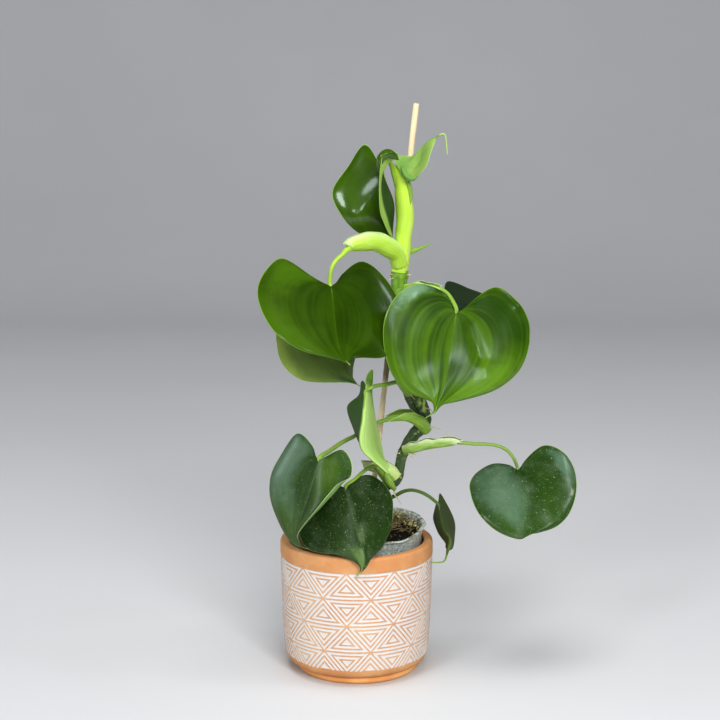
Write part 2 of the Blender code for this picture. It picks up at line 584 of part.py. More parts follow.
def soil(finish):
    """Potting mix that fills the cup, with plain holes for the stem and the stake."""
    low = CUP_DEPTH - CUP_WALL - GAP
    side = GAP * 1.1
    profile = [
        (0, -low), (cup_radius(low) - 0.6 * MM - side, -low), (cup_radius(SOIL_DROP) - side, -SOIL_DROP),
        (29 * MM, -SOIL_DROP), (23.5 * MM, -SOIL_DROP), (18 * MM, -SOIL_DROP), (12.5 * MM, -SOIL_DROP),
        (7 * MM, -SOIL_DROP), (0, -SOIL_DROP),
    ]
    made = turned("soil", profile, 32, finish)
    edge = cup_radius(SOIL_DROP) - 1.5 * MM
    for vertex in made.data.vertices:
        on_top = vertex.co.z > -SOIL_DROP - 0.1 * MM
        if on_top and math.hypot(vertex.co.x, vertex.co.y) < edge:
            vertex.co.z += soil_height(vertex.co.x, vertex.co.y)
    lean(made)
    foot = np.array(STEM_FOOT) * MM
    plain_hole(made, foot, foot[2] - GAP, foot[3] + 2.5 * GAP)
    stick = stake_place(STAKE_FOOT) * MM
    plain_hole(made, stick + (1.2 * MM, 0, 0), stick[2] - GAP, STAKE_RADIUS * MM + 1.7 * MM)
    return made


def stake(finish):
    """Straight bamboo stick behind the stem."""
    foot = stake_place(STAKE_FOOT)
    made = tube("stake", [(*foot, STAKE_RADIUS), (*STAKE_TOP, STAKE_RADIUS)], 2)
    made.data.materials.append(finish)
    return made


def main():
    """Clear the scene and build every piece."""
    for thing in list(bpy.data.objects):
        bpy.data.objects.remove(thing)
    saucer(material("saucer_terracotta", (0.42, 0.13, 0.055), 0.85))
    pot(material("pot_terracotta", (0.55, 0.19, 0.08), 0.8))
    nursery_pot(material("frosted_plastic", (0.35, 0.36, 0.35), 0.45))
    soil(material("potting_mix", (0.02, 0.015, 0.01), 0.95))
    stake(material("bamboo", (0.5, 0.42, 0.24), 0.7))
    stem(material("stem_green", (0.22, 0.36, 0.06), 0.5))
    for name in LEAVES:
        young = name == "leaf_unfurling"
        blade(name, material(name + "_green", (0.2, 0.3, 0.12) if young else (0.04, 0.12, 0.03), 0.35))


main()
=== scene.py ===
# %% [markdown]
# A young climbing philodendron in a washed terracotta pot.
#
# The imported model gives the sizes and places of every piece. This script gives the plant and its
# pot their fine surfaces, their finishes, a floor and soft light. Each step has two cells: one
# says what the real thing is and how it could be made, and the next one makes it.

import math

import bpy
import numpy as np
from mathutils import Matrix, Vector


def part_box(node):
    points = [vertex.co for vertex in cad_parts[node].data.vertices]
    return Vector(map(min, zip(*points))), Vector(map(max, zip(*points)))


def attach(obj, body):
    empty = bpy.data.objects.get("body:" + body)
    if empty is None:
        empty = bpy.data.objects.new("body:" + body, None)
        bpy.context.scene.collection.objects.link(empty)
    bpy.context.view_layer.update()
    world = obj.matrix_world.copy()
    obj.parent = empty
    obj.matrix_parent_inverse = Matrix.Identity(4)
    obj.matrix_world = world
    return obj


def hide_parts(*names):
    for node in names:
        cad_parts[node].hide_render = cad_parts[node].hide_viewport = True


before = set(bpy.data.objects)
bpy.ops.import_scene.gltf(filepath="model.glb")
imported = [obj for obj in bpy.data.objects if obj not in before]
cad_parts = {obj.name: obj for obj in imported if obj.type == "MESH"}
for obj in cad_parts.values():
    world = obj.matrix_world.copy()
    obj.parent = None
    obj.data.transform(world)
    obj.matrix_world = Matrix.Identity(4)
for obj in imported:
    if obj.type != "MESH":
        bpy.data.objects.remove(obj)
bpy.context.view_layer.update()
print("nodes in the frame:", ", ".join(sorted(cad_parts)))

# %% [markdown]
# Nearly every piece here is a grid of points: rows run along the piece, columns run round or across
# it. Working the points out as whole numpy arrays is fast, and a single function can then turn any
# such grid into a mesh. A piece may hold several grids, such as the crumbs of the soil.

# %% Turn grids of points into a piece
MM = 0.001


def grid_faces(rows, columns, around, ring, ends, start):
    """Corners of a grid's faces, and the row and column that each corner reads its UV from.

    The faces are the squares between neighbouring rows and columns. With around the last column
    meets the first, with ring the last row meets the first, and with ends each end row is closed
    by a fan of triangles to one more point.
    """
    index = np.arange(rows * columns).reshape(rows, columns) + start
    if around:
        index = np.hstack([index, index[:, :1]])
    if ring:
        index = np.vstack([index, index[:1]])
    row, column = np.indices(index.shape)
    place = row * (columns + 1) + column

    def squares(table):
        return np.stack([table[:-1, :-1], table[:-1, 1:], table[1:, 1:], table[1:, :-1]], -1).reshape(-1, 4)

    faces = squares(index).tolist()
    corners = squares(place).ravel().tolist()
    if ends:
        first, last = start + rows * columns, start + rows * columns + 1
        for k in range(index.shape[1] - 1):
            faces.append([index[0, k + 1], index[0, k], first])
            corners += [place[0, k + 1], place[0, k], place[0, k]]
            faces.append([index[-1, k], index[-1, k + 1], last])
            corners += [place[-1, k], place[-1, k + 1], place[-1, k]]
    return faces, corners


def add_object(name, mesh, finish):
    """Put a smooth mesh with its finish into the scene."""
    mesh.shade_smooth()
    mesh.materials.append(finish)
    made = bpy.data.objects.new(name, mesh)
    bpy.context.scene.collection.objects.link(made)
    return made


def piece(name, grids, finish, stands_for, ring=False, ends=True, marks=None, surfaces=None):
    """Make one smooth mesh from one or more grids of points, and tie it to the frame.

    A grid is an array (rows, columns, xyz) that closes round its columns, and with ring along its
    rows too. U runs from 0 to 1 across the columns and V along the rows, unless surfaces holds
    other values for the points. marks holds one number for each point, kept as the attribute "mark".
    """
    points, faces, uvs, values = [], [], [], []
    start = 0
    for number, grid in enumerate(grids):
        rows, columns = grid.shape[:2]
        corners_of, corners = grid_faces(rows, columns, True, ring, ends, start)
        across = np.arange(columns + 1) / columns
        along = np.arange(rows + 1) / (rows if ring else rows - 1)
        table = np.stack(np.meshgrid(across, along), -1)
        if surfaces:
            table[:rows, :columns] = surfaces[number]
            table[:rows, columns] = surfaces[number][:, 0]
        table = table.reshape(-1, 2)
        uvs.append(table[corners])
        faces += corners_of
        body = grid.reshape(-1, 3)
        mark = np.zeros(len(body)) if marks is None else marks[number].ravel()
        if ends:
            body = np.vstack([body, grid[0].mean(0), grid[-1].mean(0)])
            mark = np.append(mark, [mark[0], mark[-1]])
        points.append(body)
        values.append(mark)
        start += len(body)
    mesh = bpy.data.meshes.new(name)
    mesh.from_pydata(np.vstack(points).tolist(), [], faces)
    mesh.uv_layers.new(name="surface").data.foreach_set("uv", np.vstack(uvs).ravel())
    mesh.attributes.new("mark", "FLOAT", "POINT").data.foreach_set("value", np.concatenate(values))
    made = add_object(name, mesh, finish)
    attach(made, "root")
    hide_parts(*stands_for)
    print(f"{name}: {len(mesh.polygons)} faces")


# %% [markdown]
# Plants and clay are never quite regular. Two helpers bring that in: one draws a smooth curve through
# given places, and one gives a soft random height that is the same on every run. The short ones
# after them set lengths to 1, ease a share, make a bell-shaped rise and give the angles of a ring.

# %% Smooth curves and soft unevenness
def smooth(places, share):
    """Points of the smooth curve through the places, at shares 0 to 1 of its length.

    Each span is a cubic whose slope at its ends is that of its neighbours, with knots spaced by the
    square root of the distance, and the whole is read back by its length.
    """
    places = np.asarray(places, float)
    knots = np.r_[0, np.cumsum(np.linalg.norm(np.diff(places, axis=0), axis=1) ** 0.5)]
    slopes = np.gradient(places, knots, axis=0)

    def at(position):
        left = np.clip(np.searchsorted(knots, position, side="right") - 1, 0, len(knots) - 2)
        span = (knots[left + 1] - knots[left])[:, None]
        u = (position - knots[left])[:, None] / span
        rise = eased(u)
        enter = u * (1 - u) ** 2 * span * slopes[left]
        leave = u * u * (1 - u) * span * slopes[left + 1]
        return (1 - rise) * places[left] + rise * places[left + 1] + enter - leave

    fine = np.linspace(0, knots[-1], 800)
    length = np.r_[0, np.cumsum(np.linalg.norm(np.diff(at(fine), axis=0), axis=1))]
    return at(np.interp(np.asarray(share) * length[-1], length, fine))


def uneven(points, size, seed):
    """Soft random height from about -1 to 1: a sum of plane waves of about one size.

    Each wave is sin(k . p + phase), with the direction, length and phase drawn from the seed.
    """
    waves = 14
    draw = np.random.default_rng(seed)
    ways = draw.normal(size=(3, waves))
    ways *= 2 * np.pi / size * draw.uniform(0.6, 1.5, waves) / np.linalg.norm(ways, axis=0)
    phases = draw.uniform(0, 2 * np.pi, waves)
    return np.sin(points @ ways + phases).sum(-1) / math.sqrt(waves / 2) / 1.6


def unit(vectors):
    """The same vectors at length 1."""
    return vectors / np.maximum(np.linalg.norm(vectors, axis=-1, keepdims=True), 1e-12)


def eased(share):
    """A share from 0 to 1 made to start and stop gently."""
    return share * share * (3 - 2 * share)


def bell(distance, width):
    """1 at distance 0, falling off smoothly on both sides: exp(-(d / w) ** 2)."""
    return np.exp(-(distance / width) ** 2)


def full_turn(columns):
    """The angles of the columns round a closed ring."""
    return np.arange(columns) * 2 * math.pi / columns


# %% [markdown]
# Shaders are built from nodes. These helpers keep each material short: one adds a node and feeds its
# inputs, and the others are the few sums that nearly every material needs. A socket knows the node
# tree that it belongs to, so most helpers need only the sockets that they join.

# %% Shader helpers
def add(tree, kind, inputs=(), **settings):
    """Add a node, set its properties, and feed each input a socket or a plain value."""
    made = tree.nodes.new("ShaderNode" + kind)
    for name, value in settings.items():
        setattr(made, name, value)
    for name, value in dict(inputs).items():
        if isinstance(value, bpy.types.NodeSocket):
            tree.links.new(value, made.inputs[name])
        elif hasattr(value, "__len__") and len(value) == 3 and made.inputs[name].type == "RGBA":
            made.inputs[name].default_value = (*value, 1)
        else:
            made.inputs[name].default_value = value
    return made


def tree_of(values):
    """The node tree of the first socket among the values."""
    return next(value.id_data for value in values if isinstance(value, bpy.types.NodeSocket))


def sum_of(operation, *values):
    """One Math node, by the name of its operation."""
    return add(tree_of(values), "Math", dict(enumerate(values)), operation=operation).outputs[0]


def vector_value(operation, *values):
    """One Vector Math node that gives a number, by the name of its operation."""
    made = add(tree_of(values), "VectorMath", dict(enumerate(values)), operation=operation)
    return made.outputs["Value"]


def times(first, second):
    """Product of two values."""
    return sum_of("MULTIPLY", first, second)


def times_plus(value, factor, addend):
    """The value times the factor, plus the addend."""
    return sum_of("MULTIPLY_ADD", value, factor, addend)


def larger(first, second):
    """The larger of two values."""
    return sum_of("MAXIMUM", first, second)


def split(vector):
    """The three parts of a vector."""
    return add(vector.id_data, "SeparateXYZ", {0: vector}).outputs


def surface_uv(where):
    """The piece's own UV map, U across or round it and V along it, in the tree of this socket."""
    return add(where.id_data, "UVMap", uv_map="surface").outputs[0]


def mark_of(where):
    """The number that the mesh keeps for each point, in the tree of this socket."""
    return add(where.id_data, "Attribute", attribute_name="mark").outputs["Fac"]


def ramp(value, low, high, start=0.0, end=1.0):
    """Smooth step: start below low, end above high."""
    inputs = {"Value": value, "From Min": low, "From Max": high, "To Min": start, "To Max": end}
    return add(value.id_data, "MapRange", inputs, interpolation_type="SMOOTHSTEP").outputs["Result"]


def blend(share, first, second):
    """Mix two colours by a share from 0 to 1."""
    return add(share.id_data, "Mix", {0: share, 6: first, 7: second}, data_type="RGBA").outputs[2]


def tinted(tone, mask, amount, colour):
    """A tone with a colour laid over it where the mask is, by this amount."""
    return blend(times(mask, amount), tone, colour)


def scaled(colour, factor):
    """The same colour, darker or lighter by a factor."""
    return tuple(factor * part for part in colour)


def noise(where, scale, detail=3.0, roughness=0.55):
    """Noise from 0 to 1 on these coordinates."""
    inputs = {"Vector": where, "Scale": scale, "Detail": detail, "Roughness": roughness}
    return add(where.id_data, "TexNoise", inputs).outputs["Fac"]


def stretched(where, scale):
    """Coordinates scaled by three factors."""
    return add(where.id_data, "Mapping", {"Vector": where, "Scale": scale}).outputs["Vector"]


def new_finish(name):
    """An empty material: the material, its shader and its object coordinates."""
    made = bpy.data.materials.new(name)
    made.use_nodes = True
    tree = made.node_tree
    return made, tree.nodes["Principled BSDF"], add(tree, "TexCoord").outputs["Object"]


def feed(shader, **sockets):
    """Link or set the shader's inputs, with underscores for the spaces in their names."""
    for name, value in sockets.items():
        socket = shader.inputs[name.replace("_", " ")]
        if isinstance(value, bpy.types.NodeSocket):
            shader.id_data.links.new(value, socket)
        else:
            socket.default_value = value


def raise_surface(shader, height, distance, strength):
    """Feed the shader's normal from a height."""
    inputs = {"Height": height, "Distance": distance, "Strength": strength}
    feed(shader, Normal=add(shader.id_data, "Bump", inputs).outputs["Normal"])


# %% [markdown]
# Three effects are used by several materials, so each is a node group: a fine grain for clay, wood
# and soil, the streaks that run along veins and stems, and the dust and scuffs on old leaves and on
# the pot. A group is built once, and each material places it with its own numbers.

# %% Shader groups
def new_group(name, inputs, outputs):
    """An empty node group with named float or vector inputs and float outputs."""
    group = bpy.data.node_groups.new(name, "ShaderNodeTree")
    for title, kind, value in inputs:
        socket = group.interface.new_socket(title, in_out="INPUT", socket_type="NodeSocket" + kind)
        if kind == "Float":
            socket.default_value = value
    for title in outputs:
        group.interface.new_socket(title, in_out="OUTPUT", socket_type="NodeSocketFloat")
    return group, group.nodes.new("NodeGroupInput").outputs, group.nodes.new("NodeGroupOutput").inputs


def grain_group():
    """Fine grain: Height for a bump and Speckle for the colour, both from noise at two sizes."""
    group, given, result = new_group(
        "grain", [("Where", "Vector", None), ("Scale", "Float", 400.0)], ["Height", "Speckle"]
    )
    fine = noise(given["Where"], given["Scale"], 4.0, 0.65)
    coarse = noise(given["Where"], times(given["Scale"], 0.22), 3.0)
    group.links.new(sum_of("ADD", fine, coarse), result["Height"])
    group.links.new(ramp(fine, 0.58, 0.72), result["Speckle"])
    return group


def streak_group():
    """Streaks along V: soft bands and hair lines from noise stretched along the surface."""
    group, given, result = new_group(
        "streaks",
        [("Surface", "Vector", None), ("Across", "Float", 24.0), ("Along", "Float", 1.5)],
        ["Bands", "Lines"],
    )
    parts = split(given["Surface"])
    wide = add(group, "CombineXYZ", {
        0: times(parts[0], given["Across"]),
        1: times(parts[1], given["Along"]),
    }).outputs[0]
    group.links.new(ramp(noise(wide, 1.0, 1.0), 0.36, 0.64), result["Bands"])
    thin = stretched(wide, (4.3, 1.6, 1.0))
    group.links.new(ramp(noise(thin, 1.0, 2.0), 0.3, 0.75), result["Lines"])
    return group


def dust_group():
    """Dust and scuffs: a cloudy mask, a mask of thin scratches and one of small specks."""
    group, given, result = new_group(
        "dust", [("Where", "Vector", None), ("Scale", "Float", 60.0)], ["Cloud", "Scuff", "Specks"]
    )
    cloud = noise(given["Where"], given["Scale"], 5.0, 0.6)
    group.links.new(ramp(cloud, 0.45, 0.75), result["Cloud"])
    long = stretched(given["Where"], (6.0, 1.0, 2.0))
    scratch = noise(long, times(given["Scale"], 5.0), 2.0)
    group.links.new(ramp(scratch, 0.66, 0.74), result["Scuff"])
    speck = noise(given["Where"], times(given["Scale"], 9.0), 1.0)
    group.links.new(ramp(speck, 0.66, 0.76), result["Specks"])
    return group


GRAIN, STREAKS, DUST = grain_group(), streak_group(), dust_group()


def place_group(group, **inputs):
    """Place a group in a material with its own values."""
    return add(tree_of(inputs.values()), "Group", inputs, node_tree=group).outputs


print("shader groups:", GRAIN.name, STREAKS.name, DUST.name)

# %% [markdown]
# The photograph was taken from a little above the pot with a long lens, so the camera stands more
# than a metre away and looks down ten degrees. The floor is pale and plain and sweeps up behind
# the plant. Two wide lamps, in front and above, light everything and are not mirrored, so that they
# leave the leaves their colour. Most highlights come from six smaller lamps, as from a few windows:
# three in front and a little to the right, two on the left and one on the right. Some sheen and a
# few highlights are painted into the leaves' colour instead.

# %% Camera, floor and light
CAMERA_PLACE = (0.0025, -1.182, 0.435)
CAMERA_LENS = 85
CAMERA_DOWN = math.radians(10.1)
TARGET = np.array([0.0, 0.0, 0.2])


def set_camera():
    """Camera at the photograph's place and angle."""
    data = bpy.data.cameras.new("camera")
    data.lens = CAMERA_LENS
    camera = bpy.data.objects.new("camera", data)
    camera.location = CAMERA_PLACE
    camera.rotation_euler = (math.pi / 2 - CAMERA_DOWN, 0, 0)
    bpy.context.scene.collection.objects.link(camera)
    bpy.context.scene.camera = camera


def set_floor():
    """Pale sweep: flat, then a quarter circle, then a wall, all from one angle that runs to 90 degrees."""
    turn = np.radians(np.r_[0, np.linspace(0, 90, 24), 90])
    bend = 1.2
    run = 1.6 + bend * np.sin(turn)
    rise = bend * (1 - np.cos(turn))
    run[0], rise[-1] = -3.0, 4.0
    x = np.linspace(-4, 4, 3)
    grid = np.stack([np.tile(x, (len(turn), 1)), *[np.tile(v[:, None], (1, 3)) for v in (run, rise)]], -1)
    faces, _ = grid_faces(len(turn), 3, False, False, False, 0)
    mesh = bpy.data.meshes.new("floor")
    mesh.from_pydata(grid.reshape(-1, 3).tolist(), [], faces)
    finish, shader, where = new_finish("pale_floor")
    tone = blend(noise(where, 2.0), (0.58, 0.58, 0.59), (0.65, 0.65, 0.66))
    feed(shader, Base_Color=tone, Roughness=0.9)
    floor = add_object("floor", mesh, finish)


def set_lamp(name, turn, rise, distance, size, power, colour, mirrored):
    """Square soft lamp that faces the plant, turned right from the front and raised, in degrees.

    A lamp that isn't mirrored lights the plant but leaves no highlight on it.
    """
    data = bpy.data.lights.new(name, "AREA")
    data.size = size
    data.energy = power
    data.color = colour
    lamp = bpy.data.objects.new(name, data)
    turn, rise = math.radians(turn), math.radians(rise)
    away = np.array([math.sin(turn) * math.cos(rise), -math.cos(turn) * math.cos(rise), math.sin(rise)])
    lamp.location = TARGET + distance * away
    lamp.rotation_euler = (math.pi / 2 - rise, 0, turn)
    lamp.visible_glossy = mirrored
    bpy.context.scene.collection.objects.link(lamp)


# Name, degrees to the right, degrees up, distance and size in metres, power in watts, colour.
WARM, SKY = (1.0, 0.99, 0.97), (0.84, 0.94, 1.0)
WIDE_LAMPS = [
    ("front", 14, 28, 2.0, 0.8, 27, WARM),
    ("ceiling", -10, 75, 1.8, 1.0, 20, WARM),
]
WINDOWS = [
    ("window", 21, 25, 2.2, 0.34, 4.6, SKY),
    ("middle window", 0, 23, 2.2, 0.32, 3.5, SKY),
    ("low window", 10, 16, 2.2, 0.16, 0.7, (0.92, 0.97, 1.0)),
    ("left", -94, 3, 2.2, 0.45, 6, SKY),
    ("near left", -33, 29, 2.2, 0.42, 9, (0.90, 0.97, 1.0)),
    ("right", 76, 38, 2.2, 0.3, 4, (0.88, 0.95, 1.0)),
]

set_camera()
set_floor()
for lamp in WIDE_LAMPS:
    set_lamp(*lamp, mirrored=False)
for lamp in WINDOWS:
    set_lamp(*lamp, mirrored=True)
world = bpy.data.worlds.new("world")
world.use_nodes = True
feed(world.node_tree.nodes["Background"], Color=(0.94, 0.96, 1.0, 1), Strength=0.36)
world.cycles_visibility.glossy = False
bpy.context.scene.world = world
bpy.context.scene.view_settings.view_transform = "Standard"
bpy.context.scene.view_settings.gamma = 0.86
print("camera at", CAMERA_PLACE)

# %% [markdown]
# The plant's own shape follows no rule, so its places are written down one by one: a pixel of the
# photograph for what shows there, and a guessed depth. The camera's formula turns each into a place
# in the world. Other places are written in millimetres.

# %% Places seen in the photograph
CAMERA_ACROSS, CAMERA_BACK, CAMERA_UP = (round(abs(part) / MM, 3) for part in CAMERA_PLACE)
SENSOR_WIDTH, PHOTO_WIDTH = 36, 720                 # in millimetres, and in pixels
FOCAL = CAMERA_LENS / SENSOR_WIDTH * PHOTO_WIDTH    # in pixels of the photograph
MIDDLE = PHOTO_WIDTH / 2                            # its middle pixel, across and down


def seen(u, v, depth, *radius):
    """Place in millimetres of what the photo shows at pixel (u, v), at the depth given.

    The ray from the camera through the pixel is followed until y is the depth. Then x and z are
    rounded to half a millimetre, which is as near as the photo can be read. A tube's radius is
    handed on.
    """
    across, down = (u - MIDDLE) / FOCAL, (v - MIDDLE) / FOCAL
    reach = (depth + CAMERA_BACK) / (math.cos(CAMERA_DOWN) - down * math.sin(CAMERA_DOWN))
    x = CAMERA_ACROSS + reach * across
    z = CAMERA_UP - reach * (math.sin(CAMERA_DOWN) + down * math.cos(CAMERA_DOWN))
    return (round(2 * x) / 2, depth, round(2 * z) / 2, *radius)


print("a pixel at the pot's depth is", round(CAMERA_BACK / FOCAL, 2), "mm wide")

# %% [markdown]
# Terracotta is fired clay: matte, warm orange, with a fine grain and cloudy patches. This pot's wall
# was pressed with rows of triangles, each holding smaller triangles, and then washed with white,
# which filled the hollows and was wiped off the ridges. Such a pattern could be drawn as a picture,
# but it is a plain rule: every ridge lies a whole number of steps in from the edge of its triangle.
# So the same rule raises the ridges in the mesh and picks the colour in the material.

# %% The pot's pattern as a rule
POT_LOW, POT_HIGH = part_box("pot")
POT_RADIUS = (POT_HIGH.x - POT_LOW.x) / 2
POT_FOOT, POT_TOP = POT_LOW.z, POT_HIGH.z
WALL_FROM = 50.4 * MM           # the patterned part of the outer wall is further out than this
WASH_TOP = POT_TOP - 10.6 * MM
WASH_LOW = 12.6 * MM
ROW = 19.25 * MM                # height of a row of triangles
ROUND = 10                      # triangles in a row, all the way round
PHASE = math.radians(-7.2)      # where the first one's point is, from the front toward +X
STEP = 2.7 * MM                 # from ridge to ridge
RIDGE = 0.48 * MM               # half of a ridge's width
RELIEF = 0.28 * MM              # from the hollows up to the ridges
BASE = 2 * math.pi * POT_RADIUS / ROUND
LEANING = BASE * ROW / math.hypot(BASE / 2, ROW)    # a triangle's height on its slanted sides


def ridge_distance(angle, z):
    """Distance from the middle of the nearest ridge.

    With a counted in triangle bases round the pot and b in rows down from the top, the edges of the
    triangles are the lines where b, a - b / 2 or a + b / 2 is whole. The inset is the least of the
    three distances to them, and a ridge runs wherever the inset is a whole number of steps.
    """
    a = (angle - PHASE) * ROUND / (2 * math.pi)
    b = (WASH_TOP - z) / ROW

    def off(value):
        return np.abs(value - np.round(value))

    inset = np.minimum(ROW * off(b), LEANING * np.minimum(off(a - b / 2), off(a + b / 2)))
    return STEP * off(inset / STEP)


def ridge_nodes(where):
    """The same distance as shader nodes, with a little drift, as in a pattern made by hand."""
    drift = noise(where, 55.0, 2.0)
    parts = split(where)
    angle = sum_of("ARCTAN2", parts[0], times(parts[1], -1.0))
    a = times(sum_of("SUBTRACT", angle, PHASE), ROUND / (2 * math.pi))
    a = times_plus(drift, 0.03, sum_of("SUBTRACT", a, 0.015))
    b = sum_of("DIVIDE", sum_of("SUBTRACT", WASH_TOP, parts[2]), ROW)
    half = times(b, 0.5)

    def off(value):
        return sum_of("ABSOLUTE", sum_of("SUBTRACT", value, sum_of("ROUND", value)))

    leaning = sum_of("MINIMUM", off(sum_of("SUBTRACT", a, half)), off(sum_of("ADD", a, half)))
    inset = sum_of("MINIMUM", times(off(b), ROW), times(leaning, LEANING))
    return times(off(sum_of("DIVIDE", inset, STEP)), STEP)


print(f"{ROUND} triangles round the pot, each {BASE / MM:.1f} mm wide and {ROW / MM:.1f} mm high")

# %% Terracotta, plain and washed
CLAY = (0.58, 0.275, 0.115)
PALE_CLAY = (0.67, 0.375, 0.175)
WASH = (0.675, 0.65, 0.635)


def clay_colour(where, dark, pale):
    """Cloudy clay with fine specks, and the grain's height."""
    grain = place_group(GRAIN, Where=where, Scale=900.0)
    cloud = ramp(noise(where, 38.0, 4.0), 0.35, 0.7)
    body = blend(cloud, dark, pale)
    specks = times(grain["Speckle"], 0.25)
    return blend(specks, body, scaled(dark, 0.62)), grain["Height"]


def plain_clay(name, dark, pale, roughness):
    """Unwashed terracotta."""
    finish, shader, where = new_finish(name)
    colour, height = clay_colour(where, dark, pale)
    rough = ramp(noise(where, 120.0), 0.2, 0.8, roughness - 0.08, roughness + 0.06)
    feed(shader, Base_Color=colour, Roughness=rough)
    feed(shader, Specular_IOR_Level=0.3)
    raise_surface(shader, height, 0.12 * MM, 0.6)
    return finish


def washed_clay():
    """Terracotta with white wash between the ridges of its patterned band."""
    finish, shader, where = new_finish("washed_terracotta")
    colour, height = clay_colour(where, CLAY, PALE_CLAY)
    distance = ridge_nodes(where)
    parts = split(where)
    flat = stretched(where, (1.0, 1.0, 0.0))
    radius = vector_value("LENGTH", flat)
    ragged = times_plus(noise(where, 420.0), 0.6 * MM, parts[2])
    above = ramp(ragged, WASH_TOP + 0.25 * MM, WASH_TOP + 0.55 * MM, 1.0, 0.0)
    band = times(above, ramp(ragged, WASH_LOW + 0.1 * MM, WASH_LOW + 0.6 * MM))
    band = times(band, ramp(radius, WALL_FROM - 0.4 * MM, WALL_FROM + 0.1 * MM))
    blurred = times_plus(noise(where, 700.0, 2.0), 0.34 * MM, distance)
    hollow = ramp(blurred, RIDGE + 0.10 * MM, RIDGE + 0.34 * MM)
    dust = place_group(DUST, Where=where, Scale=30.0)
    handled = ramp(sum_of("ABSOLUTE", parts[0]), 34 * MM, 56 * MM, 0.0, 0.10)
    smeared = sum_of("ADD", noise(where, 30.0, 6.0, 0.75), handled)
    smear = ramp(smeared, 0.60, 0.72, 0.0, 0.8)
    smear = larger(smear, times(dust["Scuff"], 0.15))
    rubbing = noise(stretched(where, (1, 1, 1.6)), 46.0, 6.0, 0.75)
    worn = ramp(rubbing, 0.66, 0.76, 1.0, 0.45)
    film = ramp(noise(where, 260.0, 4.0), 0.3, 0.7, 0.05, 0.24)
    cover = larger(larger(hollow, smear), film)
    cover = times(cover, worn)
    cover = times(cover, band)
    white = blend(noise(where, 300.0, 4.0), scaled(WASH, 0.94), WASH)
    feed(shader, Base_Color=blend(cover, colour, white), Specular_IOR_Level=0.3)
    feed(shader, Roughness=ramp(cover, 0.0, 1.0, 0.74, 0.88))
    lift = times(sum_of("SUBTRACT", 1.0, hollow), band)
    raised = times_plus(height, 0.35, lift)
    raise_surface(shader, raised, 0.22 * MM, 0.7)
    return finish


POT_FINISH = washed_clay()
# The saucer's clay is lighter than the pot's own clay: painted light, for the shade that the pot casts on
# it.
SAUCER_FINISH = plain_clay("saucer_terracotta", (0.76, 0.35, 0.12), (0.88, 0.48, 0.20), 0.8)
print("finishes:", POT_FINISH.name, SAUCER_FINISH.name)

# %% [markdown]
# Both the pot and its saucer were turned on a wheel, so each is a profile carried round the Z axis.
# The profile's points are joined by short straight runs with rounded corners. The pot's profile is
# closed, as it runs down the outer wall, under the foot, in at the drain hole and up the inner wall.

# %% Turn the pot and the saucer
def rounded(corners, spacing, loop=True):
    """Points along a profile (radius, height, corner radius), each corner cut by a smooth arc.

    Near a corner the path is the quadratic curve from one tangent point to the other, with the
    corner as its middle handle. Straight runs are then filled in at the spacing in millimetres,
    which is a function of the place (radius, height) where some parts need finer steps than others.
    """
    corners = np.array(corners, float) * MM
    run = []
    for before, here, after in zip(np.roll(corners, 1, 0), corners, np.roll(corners, -1, 0)):
        back, on = unit(before[:2] - here[:2]), unit(after[:2] - here[:2])
        t = np.linspace(0, 1, 6 if here[2] > 0 else 1)[:, None]
        enter, leave = here[:2] + back * here[2], here[:2] + on * here[2]
        run.append((1 - t) ** 2 * enter + 2 * t * (1 - t) * here[:2] + t * t * leave)
    run = np.vstack(run)
    closed = np.vstack([run, run[:1]]) if loop else run
    pieces = []
    for start, end in zip(closed, closed[1:]):
        step = spacing(*(start + end) / 2) if callable(spacing) else spacing
        count = max(1, round(np.linalg.norm(end - start) / (step * MM)))
        pieces.append(start + (end - start) * np.arange(count)[:, None] / count)
    return np.vstack(pieces if loop else pieces + [run[-1:]])


def turn(profile, columns, shift=0.0):
    """Grid of a profile carried round Z: (radius sin a + shift, -radius cos a, height).

    The angle a runs below zero, which turns the faces outward for a profile that goes down its
    outer wall.
    """
    angle = -full_turn(columns)
    radius, height = profile[:, :1], profile[:, 1:]
    flat = np.broadcast_to(height, (len(profile), columns))
    return np.stack([radius * np.sin(angle) + shift, -radius * np.cos(angle), flat], -1)


def ridged(radius, height):
    """Whether the pot's outer wall has ridges at this place."""
    return (radius > WALL_FROM) & (height < WASH_TOP) & (height > WASH_LOW)


def pot_piece():
    """The pot: between its ridges the wall is pressed in by the relief."""
    r, top, foot = POT_RADIUS / MM, POT_TOP / MM, POT_FOOT / MM
    profile = rounded([
        (r - 0.15, top - 10.6, 0), (r - 0.75, 60, 8), (r - 1.8, 28, 8), (r - 3.1, 12.5, 2.5),
        (r - 5.0, 8.2, 2.2), (r - 8.6, 5.9, 1.0), (39.5, 5.8, 0.3), (39.4, foot, 0.7),
        (5.0, foot, 0.6), (5.0, foot + 6, 0.8), (r - 12.2, foot + 6, 2.6), (r - 9.3, 16, 5),
        (r - 7.4, 50, 6), (r - 6.5, top - 2.2, 1), (r - 6.3, top, 1.5), (r - 0.1, top, 2.3),
        (r, top - 10.0, 0.4),
    ], lambda radius, height: 0.8 if ridged(radius, height) else 6)
    grid = turn(profile, 480)
    radius = np.hypot(grid[..., 0], grid[..., 1])
    angle = np.arctan2(grid[..., 0], -grid[..., 1])
    z = grid[..., 2]
    rise = eased(np.clip((RIDGE + 0.35 * MM - ridge_distance(angle, z)) / (0.5 * MM), 0, 1))
    relief = np.where(ridged(radius, z), RELIEF * (rise - 1), 0)
    relief = relief + 0.12 * MM * (uneven(grid, 45 * MM, 3) - 1.2)
    grid[..., :2] *= (1 + relief / radius)[..., None]
    piece("pot_fine", [grid], POT_FINISH, ["pot"], ring=True, ends=False)


